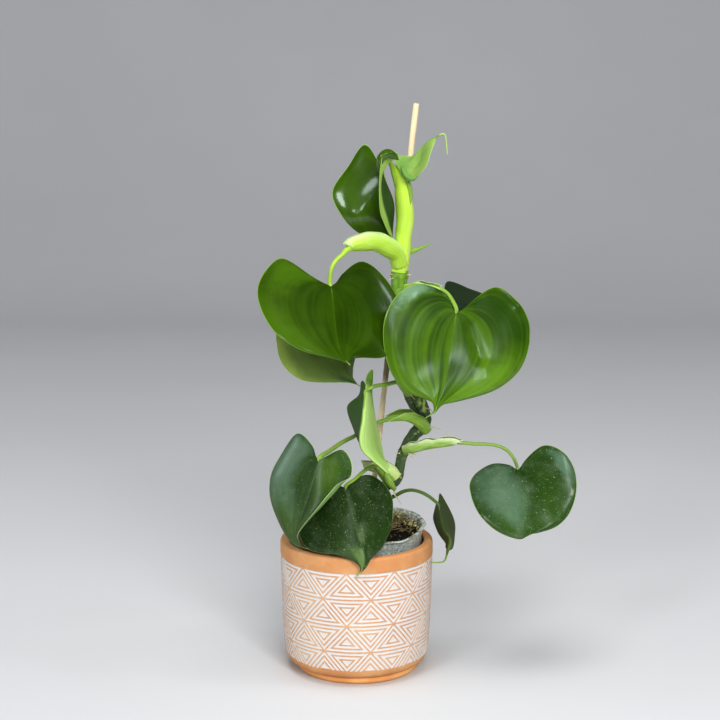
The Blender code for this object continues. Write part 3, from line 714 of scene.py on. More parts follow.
def saucer_piece():
    """The low dish under the pot."""
    low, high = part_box("saucer")
    r, top, middle = (high.x - low.x) / 2 / MM, high.z / MM, (high.x + low.x) / 2
    profile = rounded([
        (0.5, 3.5, 0), (r - 3.7, 3.5, 0.6), (r - 3.3, top, 0.7), (r, top, 0.9), (r - 0.2, 1.8, 1.4),
        (r - 2.2, 0, 1.0), (0.5, 0, 0),
    ], 1.1, loop=False)
    grid = turn(profile, 160, middle)
    grid *= 1 + 0.0012 * (uneven(grid, 40 * MM, 5) - 1)[..., None]
    piece("saucer_fine", [grid], SAUCER_FINISH, ["saucer"])


pot_piece()
saucer_piece()

# %% [markdown]
# The plant still stands in the thin frosted cup that it was sold in. The cup leans in the pot, and
# its lip has gone wavy. The cup is a turned profile like the pot's, but worked out about its own
# axis and then leaned, so one small function takes any grid from the cup's axis to its place.

# %% The nursery cup
CUP_MOUTH = np.array([12.0, 0.0, 103.7]) * MM
CUP_LEAN = np.array([-0.07, -0.11])     # slope of the cup's axis in x and y, going up
CUP_LIP_RADIUS = 38.0
CUP_MOUTH_RADIUS = 35.2
CUP_BASE_RADIUS = 23.0
CUP_DEPTH = 91.6
CUP_WALL = 0.9
SOIL_DROP = 8.5                         # from the lip down to the soil
CUP_COLUMNS = 200


def leaned(grid):
    """Take a grid from the cup's own axis to its place: turned about a level line, then moved.

    The turn by angle g about the unit line k is p cos g + (k x p) sin g + k (k . p)(1 - cos g).
    """
    slope = np.linalg.norm(CUP_LEAN)
    g = math.atan(slope)
    k = np.array([-CUP_LEAN[1], CUP_LEAN[0], 0]) / slope
    turned = grid * math.cos(g) + np.cross(k, grid) * math.sin(g)
    return turned + k * (grid @ k)[..., None] * (1 - math.cos(g)) + CUP_MOUTH


def cup_radius(depth):
    """Inner radius of the cup, in metres, at this depth in metres below its lip."""
    share = depth / MM / CUP_DEPTH
    return (CUP_MOUTH_RADIUS + (CUP_BASE_RADIUS - CUP_MOUTH_RADIUS) * share - CUP_WALL) * MM


def frosted_plastic():
    """Cloudy polypropylene: milky, a little see-through, with dried drops and dust in its grain."""
    finish, shader, where = new_finish("frosted_plastic")
    grain = place_group(GRAIN, Where=where, Scale=700.0)
    dust = place_group(DUST, Where=where, Scale=130.0)
    tone = blend(noise(where, 90.0, 4.0), (0.42, 0.52, 0.50), (0.70, 0.77, 0.74))
    tone = tinted(tone, dust["Cloud"], 0.6, (0.80, 0.81, 0.70))
    lip = ramp(split(where)[2], 98 * MM, 106 * MM)
    tone = tinted(tone, lip, 0.8, (0.86, 0.88, 0.78))
    spots = noise(where, 620.0, 2.0)
    tone = blend(ramp(spots, 0.56, 0.64), tone, (0.92, 0.94, 0.90))
    tone = blend(ramp(spots, 0.34, 0.42, 0.75, 0.0), tone, (0.14, 0.20, 0.18))
    inner = mark_of(where)
    moss = ramp(noise(where, 150.0, 6.0, 0.7), 0.47, 0.60, 0.0, 0.85)
    tone = tinted(tone, inner, moss, (0.16, 0.15, 0.05))
    feed(shader, Base_Color=tone, Transmission_Weight=0.35, IOR=1.49)
    feed(shader, Roughness=ramp(dust["Cloud"], 0.0, 1.0, 0.38, 0.7))
    raise_surface(shader, grain["Height"], 0.25 * MM, 0.8)
    return finish


def cup_piece():
    """The cup, a thin turned wall, its lip wavy and rolled outward."""
    inner = CUP_MOUTH_RADIUS - CUP_WALL
    low = CUP_DEPTH - CUP_WALL
    profile = rounded([
        (0.5, -low, 0), (CUP_BASE_RADIUS - CUP_WALL, -low, 1.4), (inner, -3.0, 1),
        (CUP_MOUTH_RADIUS - 0.2, -0.5, 0.5), (CUP_LIP_RADIUS - 0.8, 0.1, 0.4),
        (CUP_LIP_RADIUS, -0.5, 0.5), (CUP_LIP_RADIUS - 0.5, -1.3, 0.4), (CUP_MOUTH_RADIUS, -2.4, 1),
        (CUP_BASE_RADIUS, -CUP_DEPTH, 1.6), (0.5, -CUP_DEPTH, 0),
    ], 2.0, loop=False)
    inside = np.arange(len(profile)) < np.argmax(profile[:, 0])
    grid = turn(profile, CUP_COLUMNS)
    mark = inside[:, None] * np.ones(CUP_COLUMNS)
    near_lip = np.clip(1 + grid[..., 2] / (9 * MM), 0, 1)
    ring = unit(grid * (1, 1, 0)) * 40 * MM
    grid[..., 2] += 0.8 * MM * near_lip * uneven(ring, 30 * MM, 11)
    grid[..., :2] *= (1 + 0.012 * near_lip * uneven(ring, 24 * MM, 12))[..., None]
    fine = near_lip * uneven(grid, 3.5 * MM, 13)
    grid += unit(grid * (1, 1, 0)) * (0.16 * MM * fine)[..., None]
    piece("cup_fine", [leaned(grid)], frosted_plastic(), ["nursery_pot"],
                 marks=[mark])


cup_piece()

# %% [markdown]
# Potting mix is black peat with crumbs of bark, and old roots lie on it and climb the cup's wall.
# One grid gives the whole block of soil, its top raised by soft noise of several sizes. The crumbs
# are tiny lumps, all in one mesh, with their places drawn from a fixed seed.

# %% Soil and crumbs
def soil_finish():
    """Damp peat: nearly black, with brown and a few tan fibres."""
    finish, shader, where = new_finish("potting_mix")
    grain = place_group(GRAIN, Where=where, Scale=520.0)
    dark = blend(noise(where, 150.0, 5.0), (0.004, 0.004, 0.003), (0.026, 0.019, 0.011))
    fibre = ramp(noise(stretched(where, (1, 5, 3)), 160.0, 3.0), 0.66, 0.74)
    fibre_share = times(fibre, 0.6)
    feed(shader, Base_Color=blend(fibre_share, dark, (0.10, 0.075, 0.035)))
    feed(shader, Roughness=ramp(grain["Speckle"], 0, 1, 0.92, 0.6))
    raise_surface(shader, grain["Height"], 0.8 * MM, 1.0)
    return finish


def bark_finish():
    """Tan fibre and bark, lighter on its crumbs' edges."""
    finish, shader, where = new_finish("bark")
    grain = place_group(GRAIN, Where=where, Scale=800.0)
    tone = blend(noise(where, 260.0, 3.0), (0.05, 0.032, 0.014), (0.36, 0.27, 0.13))
    feed(shader, Base_Color=tone, Roughness=0.85)
    raise_surface(shader, grain["Height"], 0.2 * MM, 0.8)
    return finish


PEAT, BARK = soil_finish(), bark_finish()


def soil_part(name, grids, finish):
    """One of the fine pieces that together take the place of the packed soil."""
    piece(name, grids, finish, ["soil"])


def soil_top(x, y):
    """Height of the soil above its level: crossed waves and two sizes of crumble."""
    flat = np.stack([x, y, np.zeros_like(x)], -1)
    waves = np.sin(x / (5.1 * MM) + 1.0) * np.cos(y / (4.3 * MM)) + 0.6 * np.sin(y / (7.7 * MM) + 2.0)
    return MM * (0.9 * waves + 0.55 * uneven(flat, 5 * MM, 21) + 0.3 * uneven(flat, 1.8 * MM, 22))


def soil_piece():
    """A block that fills the cup: up its wall, then in to the middle over the crumbly top."""
    depth = np.linspace(CUP_DEPTH - 1.3, SOIL_DROP, 14) * MM
    wall = np.stack([cup_radius(depth) - 0.35 * MM, -depth], -1)
    edge = wall[-1, 0]
    inward = np.linspace(edge, 0.5 * MM, 70)[1:]
    top = np.stack([inward, np.full(len(inward), -SOIL_DROP * MM)], -1)
    grid = turn(np.vstack([wall, top])[::-1], CUP_COLUMNS)
    radius = np.hypot(grid[..., 0], grid[..., 1])
    on_top = grid[..., 2] > -(SOIL_DROP + 0.1) * MM
    fade = np.clip((edge - radius) / (2 * MM), 0, 1) * on_top
    grid[..., 2] += fade * soil_top(grid[..., 0], grid[..., 1])
    soil_part("soil_fine", [leaned(grid)], PEAT)


def lumps(places, sizes, seed):
    """Small rough bodies: a sphere's grid (sin p cos a, sin p sin a, cos p), scaled and crumpled."""
    rows, columns = 5, 7
    draw = np.random.default_rng(seed)
    polar = np.linspace(0.35, math.pi - 0.35, rows)[:, None]
    turned = full_turn(columns)
    ball = np.stack([np.sin(polar) * np.cos(turned), np.sin(polar) * np.sin(turned),
                     np.cos(polar) + 0 * turned], -1)[::-1]
    grids = []
    for place, size in zip(places, sizes):
        turns = np.linalg.qr(draw.normal(size=(3, 3)))[0]
        turns *= np.sign(np.linalg.det(turns))
        rough = 1 + 0.25 * draw.normal(size=(rows, columns, 1))
        grids.append((ball * size * rough) @ turns + place)
    return grids


def scatter(count, seed):
    """Random places on the soil's top, in the cup's own frame, even over its area."""
    draw = np.random.default_rng(seed)
    radius = (cup_radius(SOIL_DROP * MM) - 1.2 * MM) * 0.96 * np.sqrt(draw.uniform(0, 1, count))
    angle = draw.uniform(0, 2 * math.pi, count)
    x, y = radius * np.cos(angle), radius * np.sin(angle)
    return np.stack([x, y, soil_top(x, y) - SOIL_DROP * MM], -1), draw


def crumbs():
    """Dark peat crumbs all over, and a few tan chips of bark."""
    places, draw = scatter(420, 31)
    sizes = draw.uniform(0.4, 1.25, (420, 1)) * draw.uniform(0.6, 1.2, (420, 3)) * MM
    soil_part("soil_crumbs", lumps(leaned(places), sizes, 32), PEAT)
    places, draw = scatter(60, 33)
    sizes = draw.uniform(0.4, 1.0, (60, 1)) * draw.uniform([1.2, 0.4, 0.3], [2.6, 0.8, 0.5]) * MM
    soil_part("bark_chips", lumps(leaned(places + (0, 0, 0.4 * MM)), sizes, 34), BARK)


soil_piece()
crumbs()

# %% [markdown]
# Stems, stalks and roots are tubes: a circle carried along a curve. The circle has to be turned with
# the curve without twisting, so every tube keeps one level direction, its side, and works out the
# other from it. A leaf stalk also has a shallow groove on its upper face.

# %% Tubes along a curve
def directions(path, side):
    """Unit vectors ahead, sideways and up at each point: up is square to ahead and to the side."""
    ahead = unit(np.gradient(path, axis=0))
    up = unit(np.cross(ahead, side))
    return ahead, np.cross(up, ahead), up


def level_side(path):
    """A level direction square to the way the path goes, seen from above."""
    way = path[-1] - path[0]
    side = np.array([-way[1], way[0], 0.0])
    return side / np.linalg.norm(side)


def tube(path, radius, columns=18, side=None, groove=0.0):
    """Grid of a tube: path + r (cos a sideways + sin a up), with r dented by the groove at a = 90."""
    side = level_side(path) if side is None else np.asarray(side, float)
    _, sideways, up = directions(path, side)
    angle = full_turn(columns)
    dent = 1 - groove * bell(angle - math.pi / 2, 0.45)
    ring = np.cos(angle)[:, None] * sideways[:, None] + np.sin(angle)[:, None] * up[:, None]
    return path[:, None] + ring * (radius[:, None] * dent)[..., None]


def root(places, radius, seed, steps=26):
    """Thin crooked tube through places in millimetres, tapering to its end."""
    path = smooth(np.array(places, float) * MM, np.linspace(0, 1, steps))
    way = path[-1] - path[0]
    path = path + uneven(path[:, None] + np.eye(3) * MM * 50, 6 * MM, seed) * 0.35 * MM
    thick = radius * MM * (1 - 0.75 * np.linspace(0, 1, steps) ** 1.5)
    thick = thick * (1 + 0.12 * uneven(path, 2 * MM, seed + 1))
    steep = abs(way[2]) >= 0.7 * np.linalg.norm(way)
    return tube(path, thick, 8, (0.8, 0.6, 0) if steep else (0.31, 0.2, 0.93))


# %% Roots on the soil
def climbing_root(angle, reach, climb, seed):
    """Places of a root in the cup's frame: over the soil, out to the wall and up it."""
    draw = np.random.default_rng(seed)
    wall = cup_radius(SOIL_DROP * MM) / MM - 1.0
    turns = angle + np.cumsum(draw.normal(0, 0.12, 6))
    radius = np.minimum(np.linspace(reach, 1.04, 6), 1) * wall
    height = -SOIL_DROP + np.array([0.6, 1.2, 1.0, 1.4, 1.0 + 0.5 * climb, 1.0 + climb])
    places = np.stack([radius * np.sin(turns), -radius * np.cos(turns), height], -1)
    return leaned(places * MM) / MM


def soil_roots():
    """Old tan roots that lie on the soil, more of them at the back, where they climb the wall."""
    draw = np.random.default_rng(41)
    grids = []
    for number in range(64):
        angle = draw.uniform(1.7, 4.5)
        reach, climb = 1 - 0.75 * draw.uniform(0.2, 1.0) ** 2, draw.uniform(0, 8)
        grids.append(root(climbing_root(angle, reach, climb, number), draw.uniform(0.2, 0.5), number))
    soil_part("soil_roots", grids, BARK)


def moss():
    """Moss and fibre piled along the back of the cup, up to the lip."""
    draw = np.random.default_rng(47)
    angle, height = draw.normal(3.0, 0.7, 260), draw.uniform(0, 1, 260) ** 2 * 6.5
    radius = cup_radius(SOIL_DROP * MM) / MM - 1.0 - draw.uniform(0, 5, 260) * (1 - height / 7)
    places = np.stack([radius * np.sin(angle), -radius * np.cos(angle), height - SOIL_DROP], -1) * MM
    sizes = draw.uniform(0.4, 1.3, (260, 1)) * draw.uniform(0.5, 1.3, (260, 3)) * MM
    finish, shader, where = new_finish("moss")
    tufts = ramp(noise(where, 300.0), 0.35, 0.65)
    tone = blend(tufts, (0.09, 0.09, 0.02), (0.60, 0.54, 0.27))
    feed(shader, Base_Color=tone, Roughness=0.9)
    soil_part("moss", lumps(leaned(places), sizes, 48), finish)


soil_roots()
moss()

# %% [markdown]
# The stake is a split bamboo stick, pale and dry, with long fibres. Its sides are not quite round,
# and there is a dark water mark where the stem was tied to it.

# %% The bamboo stake
STAKE_TOP = np.array(seen(416.3, 103.5, 8.5))
STAKE_LOW = np.array(seen(379.6, 432, 11))
STAKE_FOOT = 70.0
STAKE_RADIUS = 2.15
STAIN_LOW, STAIN_TOP = 213 * MM, 229 * MM


def bamboo():
    """Pale dry cane with long fibres, darker in soft bands, and a dark mark."""
    finish, shader, where = new_finish("bamboo")
    surface = surface_uv(where)
    streaks = place_group(STREAKS, Surface=surface, Across=26.0, Along=9.0)
    tone = blend(streaks["Lines"], (0.80, 0.64, 0.40), (0.90, 0.79, 0.56))
    tone = tinted(tone, streaks["Bands"], 0.35, (0.62, 0.45, 0.25))
    parts = split(where)
    ragged = times_plus(noise(where, 180.0), 12 * MM, parts[2])
    mark = times(ramp(ragged, STAIN_LOW, STAIN_LOW + 6 * MM),
                 ramp(ragged, STAIN_TOP, STAIN_TOP + 8 * MM, 1.0, 0.0))
    tone = tinted(tone, mark, 0.8, (0.16, 0.12, 0.08))
    feed(shader, Base_Color=tone, Roughness=0.62)
    raise_surface(shader, streaks["Lines"], 0.15 * MM, 0.7)
    return finish


def stake_piece():
    """Straight stick, its sides uneven by a twentieth, its cut top closed by a low dome."""
    low = STAKE_LOW + (STAKE_TOP - STAKE_LOW) * (STAKE_FOOT - STAKE_LOW[2]) / (STAKE_TOP[2] - STAKE_LOW[2])
    share = np.r_[0, np.linspace(0.001, 0.999, 90), 1]
    path = (low + (STAKE_TOP - low) * share[:, None]) * MM
    radius = STAKE_RADIUS * MM * np.interp(share, [0, 0.001, 0.9985, 1], [0.8, 1, 1, 0.86])
    grid = tube(path, radius, 28, side=(1, 0, 0))
    grid += (grid - path[:, None]) * (0.05 * uneven(grid * (1, 1, 0.06), 2.4 * MM, 51) - 0.05)[..., None]
    piece("stake_fine", [grid], bamboo(), ["stake"])


stake_piece()

# %% [markdown]
# A heart-shaped leaf is a flat heart bent in space. On the flat heart, lines run from the notch to
# the tip as the veins do: the middle one straight, the outer ones round the lobes. A thin plate
# spline then carries the heart onto the plant, through landmarks such as each lobe's end and the
# tip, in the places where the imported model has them. Between the landmarks it bends as little as it
# can, as a stiff leaf does.

# %% The flat heart and the landmarks of the leaves
# Half of a flat leaf, from the notch at its stalk, over the lobe, to the drip tip. The first number
# is across and the second along, and the leaf's length without its drip tip is 1.
MARGIN = np.array([
    (0.028, 0.00), (0.075, -0.10), (0.17, -0.25), (0.36, -0.34), (0.56, -0.26), (0.68, -0.06),
    (0.70, 0.18), (0.61, 0.46), (0.42, 0.73), (0.20, 0.91), (0.07, 0.99), (0.025, 1.05), (0.0, 1.16),
])
MIDRIB_LANDMARKS = {
    "notch": (0, 0), "mid": (0, 0.5), "keel": (0, 0.78), "tip": (0, 1.0), "tail": (0, 1.08),
    "drip": (0, 1.16),
}
HALF_LANDMARKS = {
    "neck": (0.17, -0.25), "lobe": (0.36, -0.34), "shoulder": (0.56, -0.26), "side": (0.70, 0.12),
    "cheek": (0.61, 0.46), "jaw": (0.42, 0.73), "chin": (0.20, 0.91),
}
# Where each leaf's landmarks are on the plant. Left and right are as seen from the front, also for
# the leaves that show their back.
LEAVES = {
    "leaf_left_broad": dict(
        notch=seen(330.7, 286.6, -26), mid=seen(335, 325, -49), tip=seen(345, 360, -66),
        drip=seen(350, 365, -70), left_neck=seen(307, 273, -24), left_lobe=seen(283, 258, -22),
        left_shoulder=seen(268, 267, -26), left_side=seen(258.5, 297, -38),
        left_cheek=seen(275, 331, -58), left_jaw=seen(302, 350, -65), left_chin=seen(328, 357, -68),
        right_neck=seen(343, 273, -18), right_lobe=seen(363, 261, -10),
        right_shoulder=seen(384, 276, -9), right_side=seen(401, 310, -17),
        right_cheek=seen(402, 340, -30), right_jaw=(19, -46, 235), right_chin=seen(358, 357.5, -61),
    ),
    "leaf_right_broad": dict(
        notch=seen(455.5, 313.5, -30), mid=seen(449, 358, -38), tip=seen(437, 404, -50),
        tail=seen(434, 412, -51), drip=seen(425.5, 418.3, -49), left_neck=seen(446, 294, -28),
        left_lobe=seen(421, 284, -32), left_shoulder=seen(400, 293, -36), left_side=(19, -43, 252.5),
        left_cheek=(23, -47.5, 227), left_jaw=(34, -49, 211.5), left_chin=seen(427, 399.5, -50),
        right_neck=seen(473, 301, -24), right_lobe=seen(497, 287, -18),
        right_shoulder=seen(519, 302, -16), right_side=seen(530.5, 335, -22),
        right_cheek=seen(522, 368, -30), right_jaw=seen(494, 391, -40), right_chin=seen(456, 402, -46),
    ),
    "leaf_low_right": dict(
        notch=seen(518, 470, -2), mid=seen(524, 502, -21), tip=seen(529.5, 534, -38),
        drip=seen(530, 535, -38.5), left_neck=seen(510, 465, 1), left_lobe=seen(493, 463.5, 2),
        left_shoulder=seen(476, 472, -2), left_side=seen(470.5, 491, -13),
        left_cheek=seen(480, 514, -27), left_jaw=seen(499, 531.5, -35), left_chin=seen(520, 539, -38),
        right_neck=seen(525.5, 459.5, 3), right_lobe=seen(544, 445, 10),
        right_shoulder=seen(564, 452, 10), right_side=seen(576.5, 483, -1),
        right_cheek=seen(571, 511, -17), right_jaw=seen(556, 526.5, -27),
        right_chin=seen(537, 533, -36),
    ),
    "leaf_low_left": dict(
        notch=seen(318, 461, -52), mid=seen(306, 505, -50), tip=seen(302, 546, -42),
        drip=seen(311, 549, -40), left_neck=seen(312, 446, -46), left_lobe=seen(297, 433, -36),
        left_shoulder=seen(281, 453, -28), left_side=seen(268.5, 485, -26),
        left_cheek=seen(273, 512, -30), left_jaw=seen(284, 534, -34), left_chin=seen(294, 545, -38),
        right_neck=seen(328, 455, -57), right_lobe=(-9.5, -60, 173.5),
        right_shoulder=(-3.5, -64, 166.5), right_side=(-7, -68, 151), right_cheek=(-20.5, -67, 136),
        right_jaw=(-32, -59, 123), right_chin=seen(298, 537, -49),
    ),
    "leaf_low_front": dict(
        notch=seen(346, 489, -42), mid=seen(356, 528, -52), tip=seen(364, 567, -60),
        drip=seen(356, 577, -61), left_lobe=seen(324, 488, -36), left_side=(-41, -33, 113),
        left_cheek=(-34, -42, 98.5), left_jaw=seen(333, 554, -54), left_chin=seen(352, 560, -59),
        right_neck=(-1.5, -36.5, 147), right_lobe=seen(369, 475, -32),
        right_shoulder=seen(385, 484, -28), right_side=seen(393.5, 507, -29),
        right_cheek=seen(391, 530, -38), right_jaw=seen(382, 548, -48), right_chin=seen(370, 560, -57),
    ),
    "leaf_top_folded": dict(
        notch=seen(382, 171, -2), mid=seen(393.5, 204, -2), tip=(24, 4, 309.5), drip=(25, 5, 305),
        left_neck=seen(376.5, 160, 2), left_lobe=seen(364, 144, 6), left_shoulder=seen(349.5, 164.5, 4),
        left_side=seen(332.7, 192, -2), left_cheek=seen(340, 213, -6), left_jaw=seen(353, 229, -6),
        left_chin=(11, 1, 310), right_neck=seen(387, 161, -6), right_lobe=seen(398, 154, -10),
        right_shoulder=seen(384, 151, -22), right_side=seen(378.5, 203, -36),
        right_cheek=(17.5, -22, 325), right_jaw=(21.5, -2.5, 315),
    ),
    "leaf_hanging": dict(
        notch=seen(366, 387, -42), mid=(4.5, -53, 190.5), keel=(4.5, -54, 171.5),
        tip=seen(386, 472, -50), drip=seen(395, 480, -44), left_neck=seen(363, 381, -34),
        left_lobe=seen(361, 384, -28), left_shoulder=seen(361, 394, -22), left_side=seen(348, 407, -16),
        left_cheek=seen(353, 428, -22), left_jaw=seen(360, 444, -32), left_chin=(12, -44, 162),
        right_neck=(7.5, -36, 220.5), right_lobe=(11.5, -30, 222.5), right_shoulder=seen(372.5, 392, -27),
        right_side=seen(376, 416, -26), right_cheek=seen(381, 444, -30), right_jaw=(19.5, -36, 160.5),
        right_chin=(22.5, -44, 158),
    ),
    "leaf_under": dict(
        notch=seen(318, 322, -6), mid=seen(337, 351, -14), tip=(-2.5, -21, 213), drip=(2.5, -22.5, 210),
        left_lobe=seen(292, 316, -2), left_side=seen(277.5, 345, -14), left_cheek=seen(282.5, 364, -22),
        left_jaw=seen(303, 380.2, -25), left_chin=seen(334, 382.5, -25), right_lobe=seen(342, 306, 8),
        right_side=seen(362, 334, 20), right_cheek=seen(356, 356, 14), right_jaw=seen(353, 370, 0),
        right_chin=seen(353, 378, -14),
    ),
    "leaf_behind": dict(
        notch=seen(442, 318, 16), mid=seen(451, 350, 19), tip=seen(462, 384, 26),
        drip=seen(463, 390, 27), left_lobe=seen(426, 298, 8), left_side=seen(410, 328, 13),
        left_cheek=seen(424, 364, 20), right_neck=seen(444, 300, 22), right_lobe=seen(447.5, 281.5, 28),
        right_shoulder=seen(468, 288, 34), right_side=seen(500, 306, 40),
        right_cheek=seen(505, 342, 36), right_jaw=seen(488, 370, 30),
    ),
    "leaf_small_right": dict(
        notch=seen(438.6, 504.5, -14), mid=seen(444, 530, -27), tip=seen(448, 550, -24),
        tail=seen(444, 561.5, -22), drip=seen(430.5, 562.4, -19), left_lobe=seen(436, 503, -4),
        left_shoulder=seen(434.5, 511, 2), left_side=seen(433.5, 520, 4), left_cheek=seen(439, 534, -2),
        left_jaw=seen(445.5, 543, -14), left_chin=(63.2, -20, 93.5), right_neck=seen(439, 499, -9),
        right_lobe=seen(440.7, 493.3, -2), right_shoulder=seen(446.5, 503, 6),
        right_side=seen(455.2, 523, 6), right_cheek=seen(454.5, 538, -4),
        right_jaw=seen(452.5, 548, -16), right_chin=(66.5, -20, 91.5),
    ),
    "leaf_unfurling": dict(
        notch=seen(405, 177, -6), mid=seen(421, 159, -3), tip=(54.5, -12, 381), tail=(60.5, -12, 382.8),
        drip=(62.3, -11, 369), left_neck=seen(399, 170, -7), left_lobe=seen(394.5, 160, -2),
        left_shoulder=seen(402, 155.8, 4), left_side=seen(413, 156.5, 2), left_cheek=(44.5, -3, 374),
        left_jaw=(49, -8, 378), right_neck=seen(407.5, 180.5, -9), right_lobe=seen(412, 180.5, -13),
        right_shoulder=seen(418, 175, -15), right_side=seen(426.5, 166, -16),
        right_cheek=seen(430.5, 154, -15), right_jaw=seen(433, 146, -14),
    ),
}
SEEN_FROM_BEHIND = ("leaf_hanging", "leaf_under", "leaf_behind", "leaf_small_right")
print(len(LEAVES), "leaves")

# %% Bend the flat heart onto the plant
CREASE = 0.07                   # half width of the fold along the midrib, on the heart's own scale
SMOOTHING = 1e-4


def leaf_bend(landmarks):
    """Thin plate spline from the flat heart to the plant, with a crease along the midrib allowed.

    Each coordinate is a sum of r * r * log(r) about the landmarks plus a plane and the crease's
    distance from the midrib. It is solved so that every landmark lands where the table puts it, but
    for a slight smoothing.
    """
    flat = dict(MIDRIB_LANDMARKS)
    for part, (across, along) in HALF_LANDMARKS.items():
        flat["left_" + part] = (-across, along)
        flat["right_" + part] = (across, along)
    centres = np.array([flat[name] for name in landmarks], float)
    targets = np.array(list(landmarks.values()), float) * MM

    def terms(x, y):
        square = (x[..., None] - centres[:, 0]) ** 2 + (y[..., None] - centres[:, 1]) ** 2
        bumps = 0.5 * square * np.log(square + 1e-12)
        crease = np.sqrt(x * x + CREASE * CREASE) - CREASE
        return np.concatenate([bumps, np.stack([np.ones_like(x), x, y, crease], -1)], -1)

    count = len(centres)
    rows = terms(centres[:, 0], centres[:, 1])
    matrix = np.zeros((count + 4, count + 4))
    matrix[:count] = rows
    matrix[count:, :count] = rows[:, count:].T
    matrix[:count, :count] += SMOOTHING * np.eye(count)
    weights = np.linalg.solve(matrix, np.vstack([targets, np.zeros((4, 3))]))
    return lambda x, y: terms(np.asarray(x, float), np.asarray(y, float)) @ weights


def leaf_frame(name, x, y):
    """Points of a leaf's middle surface and the unit vectors that point out of its back."""
    bend = leaf_bend(LEAVES[name])
    step = 0.004
    across = bend(x + step, y) - bend(x - step, y)
    along = bend(x, y + step) - bend(x, y - step)
    return bend(x, y), unit(np.cross(across, along)) * (-1 if name in SEEN_FROM_BEHIND else 1)


# %% [markdown]
# A blade is less than a millimetre thick, and thinnest at its edge. So its grid goes once
# round the blade: over the face from the left edge to the right, round the edge, and back over the
# underside. The rows run from notch to tip. Small heights are added along the normal: the veins sink
# a little, the leaf swells between them, and the edge waves.

# %% The shape of a blade
VEINS = 7                       # main side veins on each half
BLADE_ROWS, BLADE_COLUMNS = 110, 61
EDGE_HALF = 0.10 * MM           # half of the blade's thickness at its edge
MIDDLE_HALF = 0.34 * MM         # and what is added toward the midrib
RIM = 0.14 * MM                 # how far the rounded edge stands out
DRIP_RADIUS = 0.55 * MM


def heart_lines(rows, across):
    """Flat places (x, y) along the vein lines: the share |s| of the way from midrib to margin.

    The rows crowd toward both ends by the rule (1 - cos(pi t)) / 2, where the lines meet.
    """
    t = (1 - np.cos(np.linspace(0.012, 1, rows) * math.pi)) / 2
    outline = MARGIN.copy()
    outline[0] = 0
    margin = smooth(outline, t)
    midrib = np.stack([np.zeros(rows), 1.16 * t ** 1.25], -1)
    s = np.abs(across)[None, :, None]
    flat = s * margin[:, None] + (1 - s) * midrib[:, None]
    flat[..., 0] *= np.sign(across)
    return flat[..., 0], flat[..., 1], t[:, None] + 0 * across


def vein_relief(across, share, depth):
    """Height over the blade's face: narrow furrows at the midrib and along the side veins."""
    beat = np.cos(2 * np.pi * across * VEINS)
    furrows = -0.45 * np.exp((beat - 1) * 6) * np.sin(np.pi * share) ** 0.6
    middle = -1.3 * bell(across, 0.035) * np.clip(1 - share, 0, 1) ** 0.3
    return depth * (furrows + middle + 0.22 * beat * np.sin(np.pi * share))


def folds_relief(x, y, folds):
    """Height of soft folds and dents: each is h * exp(-(d / w) ** 2), d being the distance to a line.

    A fold is (x0, y0, x1, y1, w, h) on the flat heart, its height in metres.
    """
    height = 0 * x
    for x0, y0, x1, y1, width, rise in folds:
        way = np.array([x1 - x0, y1 - y0])
        along = ((x - x0) * way[0] + (y - y0) * way[1]) / max(way @ way, 1e-9)
        along = np.clip(along, 0, 1)
        away = np.hypot(x - x0 - along * way[0], y - y0 - along * way[1])
        height = height + rise * bell(away, width)
    return height


def roll_margin(middle, back, across, share, roll):
    """Roll part of the margin up: an arc length L beyond the start goes to an arc of curvature k.

    The point moves out by sin(kL) / k and toward the face by (1 - cos(kL)) / k. A roll is (side,
    first and last share of the rows, start across, radius in millimetres), and a radius below zero
    rolls toward the back.
    """
    side, first, last, start, radius = roll
    window = np.clip((share[:, 0] - first) / 0.08, 0, 1) * np.clip((last - share[:, 0]) / 0.08, 0, 1)
    window = eased(window)
    columns = np.nonzero(side * across > start)[0]
    base = columns.min() - 1 if side > 0 else columns.max() + 1
    reach = np.linalg.norm(middle[:, columns] - middle[:, base:base + 1], axis=-1)
    outward = unit(middle[:, columns] - middle[:, base:base + 1])
    turned = window[:, None] / (radius * MM) * reach
    middle = middle.copy()
    middle[:, columns] += outward * (reach * (np.sinc(turned / np.pi) - 1))[..., None]
    lift = turned / 2 * reach * np.sinc(turned / (2 * np.pi)) ** 2
    middle[:, columns] -= back[:, base:base + 1] * lift[..., None]
    return middle


